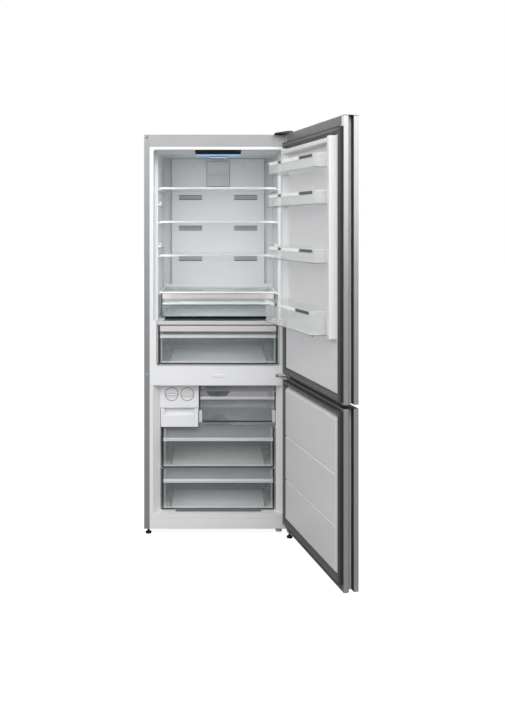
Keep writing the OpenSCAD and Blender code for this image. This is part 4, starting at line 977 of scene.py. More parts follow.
def tube(stations: Sequence[Point], radius: float, sides: int = 12, per: int = 10) -> Shell:
    """Carries a circle along a smooth path through the stations.

    The path is a Catmull-Rom curve; each ring stands square to it, its two directions kept from
    twisting by taking out what leans along the path from the ring before.

    Args:
        stations: The points that the path runs through.
        radius: The tube's radius.
        sides: How many points a ring has.
        per: How many rings lie between two stations.

    Returns:
        The closed shell.
    """
    knots = np.array([stations[0], *stations, stations[-1]], dtype=float)
    t = np.linspace(0.0, 1.0, per, endpoint=False)[:, None]
    parts = []
    for a, b, c, d in zip(knots[:-3], knots[1:-2], knots[2:-1], knots[3:]):
        curve = 2 * b + (c - a) * t + (2 * a - 5 * b + 4 * c - d) * t**2 + (3 * b - a - 3 * c + d) * t**3
        parts.append(0.5 * curve)
    path = np.concatenate([*parts, knots[-1:]])
    along = np.gradient(path, axis=0)
    along /= np.linalg.norm(along, axis=1, keepdims=True)
    # Any direction that no path here starts along
    side = np.cross(along[0], [0.31, 0.52, 0.79])
    turns = np.linspace(0.0, 2 * np.pi, sides, endpoint=False)[:, None]
    rings = []
    for point, way in zip(path, along):
        side = side - way * np.dot(side, way)
        side /= np.linalg.norm(side)
        other = np.cross(way, side)
        rings.append(point + radius * (np.cos(turns) * side + np.sin(turns) * other))
    faces = lattice(len(rings), sides, wrap_cols=True) + end_caps(len(rings), sides)
    return Shell(np.concatenate(rings), faces)


def path_round(points: Sequence[Span], radius: float, level: float) -> list[Point]:
    """Rounds a path's inner corners with three points each, at one height.

    The middle point stands 0.29 of the radius in from the corner along both sides, close to where a
    quarter circle passes a square corner.

    Args:
        points: The path's corners as (x, y).
        radius: How far from a corner its curve starts.
        level: The path's z.

    Returns:
        The stations for a tube.
    """
    middle = 0.29 * radius
    stations = [(points[0][0], points[0][1], level)]
    for before, corner, after in zip(points, points[1:], points[2:]):
        here = np.array(corner)
        back = np.array(before) - here
        ahead = np.array(after) - here
        back /= np.linalg.norm(back)
        ahead /= np.linalg.norm(ahead)
        for spot in (here + radius * back, here + middle * (back + ahead), here + radius * ahead):
            stations.append((float(spot[0]), float(spot[1]), level))
    stations.append((points[-1][0], points[-1][1], level))
    return stations


def softened(node: str, width: float, finish: Finish, segments: int = 2) -> bpy.types.Object:
    """Stands a copy of a CAD node with rounded edges in its place.

    The copy's triangles are merged, its flat faces joined and every edge over 30 degrees bevelled.

    Args:
        node: The CAD node.
        width: The bevel's width in millimetres.
        finish: The material.
        segments: The bevel's number of steps.

    Returns:
        The new object.
    """
    mesh = frame["nodes"][node].data.copy()
    for attribute in [a.name for a in mesh.attributes if a.name in ("custom_normal", "sharp_face")]:
        mesh.attributes.remove(mesh.attributes[attribute])
    work = bmesh.new()
    work.from_mesh(mesh)
    bmesh.ops.remove_doubles(work, verts=work.verts, dist=2e-6)
    bmesh.ops.dissolve_limit(work, angle_limit=math.radians(0.4), verts=work.verts, edges=work.edges)
    for face in work.faces:
        face.smooth = True
    work.to_mesh(mesh)
    work.free()
    mesh.materials.clear()
    mesh.materials.append(finish.material())
    made = bpy.data.objects.new(f"{node}_rounded", mesh)
    bpy.context.scene.collection.objects.link(made)
    bevel = made.modifiers.new("rounded_edges", "BEVEL")
    bevel.width = width * MM
    bevel.segments = segments
    bevel.limit_method = "ANGLE"
    bevel.angle_limit = math.radians(30.0)
    bevel.harden_normals = True
    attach(made, BODY_OF[node])
    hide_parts(node)
    return made


# Each CAD node's finish and the width that its edges are rounded over, or None where it stays as cut
NODE_LOOKS: dict[str, tuple[Finish, float | None]] = {
    "outer_case": (CASE_PAINT, 0.5),
    "rear_panel": (ZINC_SHEET, None),
    "top_trim": (TRIM_PAINT, 0.8),
    "upper_liner": (LINER_PLASTIC, 1.0),
    "lower_liner": (LINER_PLASTIC, 1.0),
    "cabinet_foam": (FOAM, None),
    "mullion_cover": (WHITE_PLASTIC, 0.7),
    "plinth": (WHITE_PLASTIC, 0.8),
    "base_plate": (ZINC_SHEET, 0.4),
    "compressor": (COMPRESSOR_PAINT, 1.5),
    "drip_pan": (DARK_PLASTIC, 1.0),
    "condenser_tube": (COPPER, None),
    "evaporator": (FIN_ALUMINIUM, None),
    "freezer_rear_cover": (WHITE_PLASTIC, 1.0),
    "fan_motor": (DARK_PLASTIC, 0.6),
    "fan_rotor": (WHITE_PLASTIC, None),
    "duct_cover": (LINER_PLASTIC, 0.8),
    "filter_box": (FILTER_PLASTIC, 1.5),
    "control_panel": (BLACK_PANEL, 0.6),
    "lamp_cover": (LAMP_COVER, 0.8),
    "shelf_panes": (PANE, 0.6),
    "shelf_trims": (SHELF_EDGE, 0.8),
    "chiller_cover_frame": (WHITE_PLASTIC, 1.0),
    "chiller_cover_glass": (PANE, 0.6),
    "crisper_shelf_frame": (DECK_PLASTIC, 1.2),
    "crisper_shelf_glass": (DECK_PANE, 0.6),
    "freezer_shelf": (SHELF_PANE, 0.6),
    "top_hinge": (DARK_STEEL, 0.6),
    "hinge_cover": (DARK_PLASTIC, 2.0),
    "middle_hinge": (HINGE_STEEL, 0.6),
    "bottom_hinge": (HINGE_STEEL, 0.8),
    "hinge_screws": (SCREW_STEEL, 0.4),
    "front_feet": (FOOT_RUBBER, 1.0),
    "rear_roller_left": (DARK_PLASTIC, 1.5),
    "rear_roller_right": (DARK_PLASTIC, 1.5),
    "power_gland": (FOOT_RUBBER, 0.8),
    "ice_maker_housing": (WHITE_PLASTIC, 1.5),
    "ice_knob_left": (WHITE_PLASTIC, 1.0),
    "ice_knob_right": (WHITE_PLASTIC, 1.0),
    "ice_bin": (WHITE_PLASTIC, 1.5),
    "chiller_drawer": (CLEAR_PLASTIC, 0.8),
    "chiller_handle": (BAR_ALUMINIUM, 1.0),
    "crisper_drawer": (CLEAR_PLASTIC, 0.8),
    "crisper_handle": (CRISPER_ALUMINIUM, 1.0),
    "middle_freezer_drawer": (SMOKED_PLASTIC, 0.8),
    "bottom_freezer_drawer": (SMOKED_PLASTIC, 0.8),
    "freezer_flap": (SMOKED_PLASTIC, 0.8),
    "upper_door_skin": (DOOR_STEEL, 0.4),
    "upper_door_caps": (CAP_PLASTIC, 0.8),
    "upper_door_foam": (DOOR_FOAM, None),
    "upper_door_liner": (DOOR_LINER_PLASTIC, 1.5),
    "door_bins": (BIN_PLASTIC, 0.8),
    "bottle_bin": (BIN_PLASTIC, 0.8),
    "bin_rails": (RAIL_CHROME, 0.5),
    "lower_door_skin": (DOOR_STEEL, 0.4),
    "lower_door_caps": (CAP_PLASTIC, 0.8),
    "lower_door_foam": (DOOR_FOAM, None),
    "lower_door_liner": (DOOR_LINER_PLASTIC, 1.5),
}


def dress_nodes() -> None:
    """Gives every CAD node its finish, and rounds the edges of those that have a width."""
    for node, (finish, width) in NODE_LOOKS.items():
        if width is None:
            slots = frame["nodes"][node].data.materials
            slots.clear()
            slots.append(finish.material())
        else:
            softened(node, width, finish)
        LOG.info("dressed %s", node)


@dataclass
class Screw:
    """A cross-head screw in an upright face.

    Attributes:
        centre: The middle of the seat under its head.
        head_r: The head's radius.
        head_h: How high the head stands.
        way: 1 where it points along +Y, -1 where it points against it.
        sunk: How far the head reaches into its seat.
    """

    centre: Point
    head_r: float = 4.0
    head_h: float = 2.0
    way: int = -1
    sunk: float = 0.4

    def shell(self) -> Shell:
        """Turns the head: a dome whose middle sinks to a recess for the driver.

        Returns:
            The closed shell.
        """
        dome = [(0.0, 0.35), (0.28, 0.4), (0.42, 0.95), (0.7, 0.85), (0.93, 0.5), (1.0, 0.0)]
        profile = [(self.head_r * out, self.way * self.head_h * up) for out, up in dome]
        profile += [(self.head_r * 0.9, -self.way * self.sunk), (0.0, -self.way * self.sunk)]
        return lathe(profile, self.centre, steps=20)


@dataclass
class Door:
    """One door's gasket, grip lining and end cap.

    Attributes:
        body: The CAD body, whose name starts the names of the door's nodes and pieces too.
        gasket_x: The gasket's ends along the door.
        gasket_side: The folded side of the vinyl section, as (inset, depth behind the door's inner face).
        gasket_head: The flat face of the section and its inner lip, the same way.
        gasket_seam: Where both close.
        channel_x: The grip channel's mouth and floor in the free edge.
        channel_y: Its outer and its inner wall.
        lining_t: How thick its lining is.
        lining_gap: How far the lining stays in from the sheet's ends.
        floor_half: Half of the floor strip's face with its groove, as (height, distance from its side).
        cap_w: How far the end cap reaches along the door.
        cap_z: How far its two faces stand over the sheet's top.
        cap_in: How far it stays in from the door's outer and inner face.
    """

    body: str
    gasket_x: Span = (-683.0, 0.0)
    gasket_side: tuple[Span, ...] = (
        (0.8, 0.0),
        (0.5, 2.2),
        (5.2, 3.8),
        (5.2, 4.8),
        (0.9, 6.6),
        (0.9, 8.2),
        (5.6, 9.6),
        (5.6, 10.8),
        (0.4, 12.2),
        (0.3, 18.6),
        (1.4, 19.7),
    )
    gasket_head: tuple[Span, ...] = (
        (6.0, 19.7),
        (7.0, 19.1),
        (8.0, 19.7),
        (14.6, 19.7),
        (16.8, 18.6),
        (17.2, 13.0),
        (14.5, 11.4),
        (18.5, 9.0),
        (22.0, 6.5),
        (25.6, 3.2),
        (26.0, 1.2),
        (25.6, 0.0),
    )
    gasket_seam: Span = (6.0, 0.0)
    channel_x: Span = (-684.4, -660.0)
    channel_y: Span = (-26.4, -5.6)
    lining_t: float = 0.8
    lining_gap: float = 1.0
    floor_half: tuple[Span, ...] = ((0.0, 0.0), (1.2, 0.0), (1.2, 1.0), (0.6, 1.6), (1.4, 2.4))
    cap_w: float = 46.0
    cap_z: Span = (1.0, 3.4)
    cap_in: float = 1.0

    def build(self) -> None:
        """Makes the gasket, the grip's lining and the end cap."""
        skin_low, skin_high = node_box(f"{self.body}_skin")
        rise = (skin_low[2] + self.lining_gap, skin_high[2] - self.lining_gap)
        self.gasket()
        self.grip_walls(rise)
        self.grip_floor(rise)
        self.end_cap(skin_high[2])

    def gasket(self) -> None:
        """Runs the folded vinyl section round the door's foam: two bellows, a magnet pocket and a lip; the
        folded side is a darker copy of the vinyl, painted shade.
        """
        foam_low, foam_high = node_box(f"{self.body}_foam")
        side = np.array(self.gasket_side + (self.gasket_head[0], self.gasket_seam))
        head = np.array(self.gasket_head + (self.gasket_seam,))
        for part, profile, finish in (("head", head, SEAL_RUBBER), ("side", side, SEAL_SHADE)):
            profile[:, 1] += DOOR_IN
            shell = picture_frame(self.gasket_x, (foam_low[2], foam_high[2]), profile).turned_open()
            made = shell.make(f"{self.body}_gasket_{part}", finish, self.body, crease_degrees=24.0)
            if part == "head":
                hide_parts(f"{self.body}_seal")

    def grip_walls(self, rise: Span) -> None:
        """Lines both walls of the grip channel with a dark extruded section.

        Args:
            rise: The lining's lower and upper end.
        """
        x0, x1 = self.channel_x
        outer, inner = self.channel_y
        for name, (y0, y1) in (
            ("outer", (outer, outer + self.lining_t)),
            ("inner", (inner - self.lining_t, inner)),
        ):
            shell = prism([(x0, y0), (x1, y0), (x1, y1), (x0, y1)], *rise, Facing.TOP).turned_open()
            shell.make(f"{self.body}_grip_{name}_wall", GRIP_PLASTIC, self.body)

    def grip_floor(self, rise: Span) -> None:
        """Lays the paler strip along the channel's floor, with a shallow groove on either side.

        Args:
            rise: The strip's lower and upper end.
        """
        floor = self.channel_x[1]
        low, high = self.channel_y[0] + self.lining_t, self.channel_y[1] - self.lining_t
        outline = [(floor - up, high - off) for up, off in self.floor_half]
        outline += [(floor - up, low + off) for up, off in reversed(self.floor_half)]
        shell = prism(outline, *rise, Facing.TOP).turned_open()
        shell.make(f"{self.body}_grip_floor", GRIP_FLOOR, self.body)

    def end_cap(self, top: float) -> None:
        """Closes the top of the free edge with a thin black cap.

        Args:
            top: The sheet's upper side.
        """
        span = (self.channel_x[0], self.channel_x[0] + self.cap_w)
        across = (DOOR_OUT + self.cap_in, DOOR_IN - self.cap_in)
        faces = (top + self.cap_z[0], top + self.cap_z[1])
        shell = slab(span, across, faces, radius=4.0, fillet=0.8, facing=Facing.TOP)
        shell.turned_open().make(f"{self.body}_end_cap", GRIP_PLASTIC, self.body)


@dataclass
class DoorBins:
    """The rolled rims of the clear bins on the upper door, the foot rims dark as painted shade and the top
    rims pale as a painted highlight.

    Attributes:
        floors: Each bin's name, the height of its floor, its height and the y of its front at the hinge.
        span: The bins' ends along the door.
        taper: How much nearer the door the front is at the free end, in degrees.
        corner_r: The radius of the bins' corners.
        back_y: Where the rims end at the door's liner.
        rim_r: The rims' radius.
        sunk: How far a rim's middle lies inside the wall's outer face.
        foot_up: How far the foot rim's middle lies over the floor.
        top_down: How far the top rim's middle lies under the wall's top.
    """

    floors: tuple[tuple[str, float, float, float], ...] = (
        ("top", 1693.0, 54.0, 128.0),
        ("second", 1546.0, 54.0, 128.0),
        ("third", 1312.0, 54.0, 128.0),
        ("bottle", 1027.0, 94.0, 143.0),
    )
    span: Span = (-601.0, -69.0)
    taper: float = 2.5
    corner_r: float = 18.0
    back_y: float = 26.0
    rim_r: float = 1.3
    sunk: float = 0.78
    foot_up: float = 1.0
    top_down: float = 0.6

    def build(self) -> None:
        """Rolls the foot rim and the top rim of each bin."""
        drop = math.tan(math.radians(self.taper)) * (self.span[1] - self.span[0])
        left, right = self.span[0] + self.sunk, self.span[1] - self.sunk
        for name, floor, height, front in self.floors:
            near, far = front - self.sunk, front - drop - self.sunk
            corners = [(right, self.back_y), (right, near), (left, far), (left, self.back_y)]
            for part, level, finish in (
                ("foot", floor + self.foot_up, RIM_PLASTIC),
                ("top", floor + height - self.top_down, LIP_PLASTIC),
            ):
                path = path_round(corners, self.corner_r, level)
                rim = tube(path, self.rim_r, sides=10, per=5).turned_open()
                rim.make(f"{name}_bin_{part}_rim", finish, "upper_door")


@dataclass
class Drawer:
    """What shows on a clear front besides its walls: a rim of painted shadow for the gap round it, a band of
    painted shade (on the chiller, of painted highlight), a lip pale as a painted highlight and painted shade
    under the lip.

    Attributes:
        node: The drawer's or the flap's CAD node.
        body: Its body.
        lip_drop: How far under its top the front's lip lies.
        bar_h: The height of the metal bar along its top, zero where it has none.
        front_y: The front face, where it isn't the node's own lowest y.
        band_h: The height of the band under the bar or the top, zero for all down to the lip.
        grip_d: How far the part over the lip is set back.
        whole_rim: Whether the rim of painted gap shadow runs over the top too.
        wall: The wall's thickness.
        lip_low: How far the lip, pale as a painted highlight, reaches down from its edge.
        lip_high: How far its back rises over its edge.
        lip_shadow_h: The height of the painted shade under the lip.
        side_in: How far each side wall leans in at the drawer's floor, zero where it stands upright.
        side_top: How far under the lip a leaning side wall starts.
        foot_grip: The ends of the dark finger grip along the foot, where it has one.
        band_finish: The set-back part's finish.
        foot_gap: How far a whole rim stays over the foot, to pass the shelf as the flap drops.
        play: How far the pieces of the front stay off the walls round them.
        skin: Half the thickness of the painted shade under the lip and of the lip's edge.
        band_y: The band's front and back, from the set-back part's face.
        edge_w: The width of the rim of painted gap shadow.
        rim_out: How far the rim reaches past the drawer's sides.
        rim_y: The rim's front and back, from the front face.
        side_wall: How far in from the drawer's outer side a leaning wall starts.
        side_t: A leaning wall's thickness.
        side_front: How far behind the set-back part a leaning wall starts.
        glint_w: The width of the painted highlight along the inner edge.
        glint_y: Its front and back, from the front face.
        glint_in: How far it stays in from the drawer's sides.
        glint_up: How far it stays over the drawer's foot.
        grip_z: The finger grip's lower and upper side, from the node's foot.
        grip_slant: How far its ends lean in.
        grip_y: Its front and back, from the node's lowest y.
        low: The node's lowest corner.
        high: Its highest corner.
        front: The y of the front face.
        lip_z: The height of the lip's edge.
        span: The ends of what lies between the walls.
    """

    node: str
    body: str
    lip_drop: float
    bar_h: float = 0.0
    front_y: float | None = None
    band_h: float = 0.0
    grip_d: float = 24.0
    whole_rim: bool = False
    wall: float = 3.0
    lip_low: float = 6.0
    lip_high: float = 7.0
    lip_shadow_h: float = 90.0
    side_in: float = 0.0
    side_top: float = 29.0
    foot_grip: Span | None = None
    band_finish: Finish = BAND_PLASTIC
    foot_gap: float = 12.0
    play: float = 0.6
    skin: float = 0.5
    band_y: Span = (-1.0, -0.2)
    edge_w: float = 5.2
    rim_out: float = 0.4
    rim_y: Span = (-0.9, 1.5)
    side_wall: float = 19.5
    side_t: float = 1.6
    side_front: float = 4.0
    glint_w: float = 3.6
    glint_y: Span = (-0.8, 0.4)
    glint_in: float = 11.44
    glint_up: float = 8.32
    grip_z: Span = (-4.0, 15.0)
    grip_slant: float = 6.0
    grip_y: Span = (-1.4, -0.2)
    low: np.ndarray = field(init=False)
    high: np.ndarray = field(init=False)
    front: float = field(init=False)
    lip_z: float = field(init=False)
    span: Span = field(init=False)

    def __post_init__(self) -> None:
        """Reads the node's corners, and from them the front face, the lip's height and its ends."""
        self.low, self.high = node_box(self.node)
        self.front = self.low[1] if self.front_y is None else self.front_y
        self.lip_z = self.high[2] - self.lip_drop
        self.span = (self.low[0] + self.wall + self.play, self.high[0] - self.wall - self.play)

    def build(self) -> None:
        """Makes the front's pieces and the leaning sides."""
        self.rim()
        self.band()
        self.lip()
        self.lip_shadow()
        if self.side_in > 0:
            self.glint()
            self.sides()
        if self.foot_grip:
            self.grip(self.foot_grip)

    def rim(self) -> None:
        """Runs a dark rim down both sides of the front and along its foot: painted shadow for the gap round
        the front.
        """
        profile = edge_profile(self.edge_w, self.front + self.rim_y[0], self.front + self.rim_y[1])
        across = (self.low[0] - self.rim_out, self.high[0] + self.rim_out)
        foot = self.low[2] + (self.foot_gap if self.whole_rim else -self.rim_out)
        shell = picture_frame(across, (foot, self.high[2]), profile, open_top=not self.whole_rim)
        shell.make(f"{self.node}_rim", EDGE_SHADE, self.body)

    def band(self) -> None:
        """Lays a band over the set-back part of the front, in band_finish: painted shade under the bar or the
        top, and on the chiller the lip's painted highlight.
        """
        top = self.high[2] - self.bar_h
        foot = top - self.band_h if self.band_h > 0 else self.lip_z + self.lip_high
        back = self.front + self.grip_d
        depth = (back + self.band_y[0], back + self.band_y[1])
        shell = slab(self.span, (foot, top - self.play), depth, radius=1.2, fillet=0.3)
        shell.make(f"{self.node}_band", self.band_finish, self.body)

    def lip(self) -> None:
        """Lays the lip, pale as a painted highlight: upright in front, its top sloping up to the set-back
        part.
        """
        face, inner = self.front - self.play, self.front + self.wall
        back = self.front + self.grip_d - self.play
        foot, edge, top = self.lip_z - self.lip_low, self.lip_z, self.lip_z + self.lip_high
        thick = 2 * self.skin
        outline = [(face, foot), (face, edge), (back, top)]
        outline += [(back, top - thick), (inner, edge - thick), (inner, foot)]
        shell = prism(outline, self.span[0], self.span[1], Facing.SIDE)
        shell.make(f"{self.node}_lip", LIP_PLASTIC, self.body)

    def lip_shadow(self) -> None:
        """Paints shade on the front under the lip, most at the top: shade = height over the foot /
        lip_shadow_h.
        """
        top = self.lip_z - self.lip_low
        depth = (self.front - self.skin, self.front + self.skin)
        shell = slab(self.span, (top - self.lip_shadow_h, top), depth, radius=1.2, fillet=0.3)
        mesh = shell.make(f"{self.node}_bend", UNDER_LIP, self.body).data
        places = np.empty(len(mesh.vertices) * 3)
        mesh.vertices.foreach_get("co", places)
        heights = places.reshape(-1, 3)[:, 2] / MM
        shade = np.clip((heights - top + self.lip_shadow_h) / self.lip_shadow_h, 0.0, 1.0)
        mesh.attributes.new("shade", "FLOAT", "POINT").data.foreach_set("value", shade)

    def glint(self) -> None:
        """Runs a painted highlight beside the rim, along the inner edge where the thick moulding gathers
        light.
        """
        profile = edge_profile(self.glint_w, self.front + self.glint_y[0], self.front + self.glint_y[1])
        across = (self.low[0] + self.glint_in, self.high[0] - self.glint_in)
        rise = (self.low[2] + self.glint_up, self.high[2] - self.bar_h - 2.0)
        shell = picture_frame(across, rise, profile, open_top=True)
        shell.make(f"{self.node}_glint", GLINT_PLASTIC, self.body)

    def sides(self) -> None:
        """Leans a side wall in on each side, from under the lip down to the floor; its dark colour is painted
        shade.
        """
        top = self.lip_z - self.lip_low - self.side_top
        foot = self.low[2] + self.wall + self.rim_out
        near, far = self.low[1] + self.grip_d + self.side_front, self.high[1] - 3 * self.wall
        for name, wall, inward in (
            ("left", self.low[0] + self.side_wall, 1),
            ("right", self.high[0] - self.side_wall, -1),
        ):
            inner = wall + inward * self.side_in
            thick = inward * self.side_t
            outline = [(wall, top), (wall + thick, top), (inner, foot), (inner - thick, foot)][::inward]
            shell = prism(outline, near, far, Facing.FRONT)
            shell.make(f"{self.node}_{name}_side", WEB_PLASTIC, self.body)

    def grip(self, span: Span) -> None:
        """Hangs the finger grip along the foot of the front, its ends cut at a slant; its dark colour is
        painted shade.

        Args:
            span: The grip's ends.
        """
        left, right = span
        foot, top = self.low[2] + self.grip_z[0], self.low[2] + self.grip_z[1]
        outline = [(left, top), (left + self.grip_slant, foot), (right - self.grip_slant, foot), (right, top)]
        shell = prism(outline, self.low[1] + self.grip_y[0], self.low[1] + self.grip_y[1], Facing.FRONT)
        shell.make(f"{self.node}_foot_grip", GRIP_CLEAR, self.body)


@dataclass
class UpperCompartment:
    """The small pieces on the upper compartment's walls, ceiling and back.

    Attributes:
        plug_x: How far the duct cover's plugs stand from the middle.
        plug_z: Their height.
        plug_r: Their radius.
        plug_face: A plug's face, as (share of its radius, depth).
        seam_w: The width of the painted shade in the open joint round the duct cover.
        shade_plate_in: How far the painted shade plate behind the vents stays in from the cover's sides.
        shade_plate_back: How far its front lies before the cover's back.
        shade_plate_t: Its thickness.
        shadow_outline_w: The width of the dark outline of painted shadow round the filter box.
        tray_share: The filter tray's height, as a share of the box's.
        tray_in: How far the tray stays in from the box's sides.
        tray_up: How far it stays over the box's foot.
        tray_bulge: How far its face swells at the middle.
        grip_in: How far the filter's grip stays in from the box's sides.
        grip_up: How far its ends lie over the tray.
        grip_rise: How far its middle rises over its ends.
        grip_out: How far its middle stands out before its ends.
        louvre_y: Where the first and the last louvre of the sensor's cover hang.
        louvre_half: Half of a louvre's size along X and Y.
        louvre_z: A louvre's foot and top, from the ceiling panel's top.
        support_y: The wall supports' ends.
        support_z: Their heights.
        support_out: How far they stand out.
        wall_gap: How far the walls are from the shelves' panes.
    """

    plug_x: float = 134.0
    plug_z: float = 1782.0
    plug_r: float = 8.0
    plug_face: tuple[Span, ...] = (
        (0.0, 1.6),
        (0.55, 1.6),
        (0.62, 0.0),
        (0.72, -1.4),
        (0.95, -1.4),
        (1.0, 0.4),
        (0.0, 0.4),
    )
    seam_w: float = 2.2
    shade_plate_in: float = 4.0
    shade_plate_back: float = 6.0
    shade_plate_t: float = 1.0
    shadow_outline_w: float = 2.8
    tray_share: float = 0.42
    tray_in: float = 6.0
    tray_up: float = 8.0
    tray_bulge: float = 2.6
    grip_in: float = 8.0
    grip_up: float = 4.0
    grip_rise: float = 9.0
    grip_out: float = 2.2
    louvre_y: Span = (206.0, 232.0)
    louvre_half: Span = (41.0, 3.0)
    louvre_z: Span = (-26.0, -14.0)
    support_y: Span = (255.0, 290.0)
    support_z: tuple[float, ...] = (1576.0, 1370.0)
    support_out: float = 9.0
    wall_gap: float = 11.0

    def build(self) -> None:
        """Makes the compartment's small pieces."""
        self.duct_plugs()
        self.duct_seam_shade()
        self.duct_shade_plate()
        self.filter_shadow_outline()
        self.filter_tray()
        self.filter_grip()
        self.sensor_louvres()
        self.wall_supports()

    def duct_plugs(self) -> None:
        """Sets a hollow snap plug in each upper corner of the duct cover."""
        face = node_box("duct_cover")[0][1]
        profile = [(share * self.plug_r, depth) for share, depth in self.plug_face]
        for name, side in (("left", -1), ("right", 1)):
            plug = lathe(profile, (MID_X + side * self.plug_x, face, self.plug_z), steps=28)
            plug.make(f"duct_plug_{name}", FILTER_PLASTIC, "cabinet")

    def duct_seam_shade(self) -> None:
        """Paints the shade in the open joint between the duct cover and the liner round it."""
        low, high = node_box("duct_cover")
        profile = edge_profile(self.seam_w, low[1] - 0.4, low[1] + 1.0)
        span = (low[0] - self.seam_w, high[0] + self.seam_w)
        shell = picture_frame(span, (low[2], high[2] + self.seam_w), profile)
        shell.make("duct_seam_shade", SEAM_SHADE, "cabinet")

    def duct_shade_plate(self) -> None:
        """Stands a dark grey plate behind the vents: painted shade inside the duct."""
        low, high = node_box("duct_cover")
        front = high[1] - self.shade_plate_back
        span = (low[0] + self.shade_plate_in, high[0] - self.shade_plate_in)
        rise = (low[2] + self.shade_plate_in, high[2] - self.shade_plate_in)
        shell = slab(span, rise, (front, front + self.shade_plate_t), radius=3.0, fillet=0.3)
        shell.make("duct_shade_plate", VENT_SHADE, "cabinet")

    def filter_shadow_outline(self) -> None:
        """Lays a dark outline round the filter box, where it stands on the duct cover: painted shadow."""
        low, high = node_box("filter_box")
        low, high = low - self.shadow_outline_w, high + self.shadow_outline_w
        face = node_box("duct_cover")[0][1]
        shell = slab((low[0], high[0]), (low[2], high[2]), (face - 0.4, face + 0.5), radius=5.0, fillet=0.2)
        shell.make("filter_shadow_outline", SEAM_SHADE, "cabinet")

    def filter_tray(self) -> None:
        """Makes the lower part of the filter box, its face swept round like a drawer's.

        With x from -1 to 1 across and u from 0 to 1 upwards, the face stands out by
        tray_bulge * (1 - x^4) * sqrt(1 - u^6).
        """
        low, high = node_box("filter_box")
        across = np.linspace(-1.0, 1.0, 25)
        up = np.linspace(0.0, 1.0, 13)
        x, u = np.meshgrid(across, up)
        half = (high[0] - low[0]) / 2 - self.tray_in
        tall = (high[2] - low[2]) * self.tray_share
        bulge = self.tray_bulge * (1 - x**4) * np.sqrt(np.clip(1 - u**6, 0.0, 1.0))
        places = [MID_X + half * x, low[1] - 0.4 - bulge, low[2] + self.tray_up + tall * u]
        points = np.stack(places, axis=-1).reshape(-1, 3)
        back = points.copy()
        back[:, 1] = low[1] + 0.8
        count, cols, rows = len(points), len(across), len(up)
        front_faces = lattice(rows, cols)
        back_faces = [[number + count for number in face[::-1]] for face in front_faces]
        edge = list(range(cols))
        edge += [row * cols + cols - 1 for row in range(1, rows)]
        edge += list(range(count - 2, count - cols - 1, -1))
        edge += [row * cols for row in range(rows - 2, 0, -1)]
        rim = [[a, b, b + count, a + count] for a, b in zip(edge, edge[1:] + edge[:1])]
        shell = Shell(np.concatenate([points, back]), front_faces + back_faces + rim)
        shell.make("filter_tray", FILTER_LIGHT, "cabinet")

    def filter_grip(self) -> None:
        """Puts the arched grip over the filter's tray, both its bows parabolas: 1 - t^2."""
        low, high = node_box("filter_box")
        half = (high[0] - low[0]) / 2 - self.grip_in
        level = low[2] + self.tray_up + (high[2] - low[2]) * self.tray_share + self.grip_up
        front = low[1] - 0.6
        stations = []
        for t in np.linspace(-1.0, 1.0, 9):
            bow = 1 - t * t
            stations.append((MID_X + half * t, front - self.grip_out * bow, level + self.grip_rise * bow))
        tube(stations, 1.5, sides=10, per=6).make("filter_grip", FILTER_LIGHT, "cabinet")

    def sensor_louvres(self) -> None:
        """Hangs the vented sensor cover behind the lamp."""
        top = node_box("control_panel")[1][2]
        rise = (top + self.louvre_z[0], top + self.louvre_z[1])
        half_x, half_y = self.louvre_half
        span = (MID_X - half_x, MID_X + half_x)
        shells = [
            slab(span, (y - half_y, y + half_y), rise, radius=1.4, fillet=0.4, facing=Facing.TOP)
            for y in np.linspace(*self.louvre_y, 5)
        ]
        join_shells(shells).make("sensor_louvres", LOUVRE_PLASTIC, "cabinet")

    def wall_supports(self) -> None:
        """Sets the moulded wedge supports between the shelves on both side walls."""
        low, high = node_box("shelf_panes")
        for name, side, wall in (("left", -1, low[0] - self.wall_gap), ("right", 1, high[0] + self.wall_gap)):
            out = wall - side * self.support_out
            for number, z in enumerate(self.support_z):
                wedge = [(wall, z - 14.0), (out, z - 1.0), (out, z + 6.0), (wall, z + 6.0)]
                shell = prism(wedge, *self.support_y, Facing.FRONT)
                shell.make(f"wall_support_{name}_{number}", WHITE_PLASTIC, "cabinet")


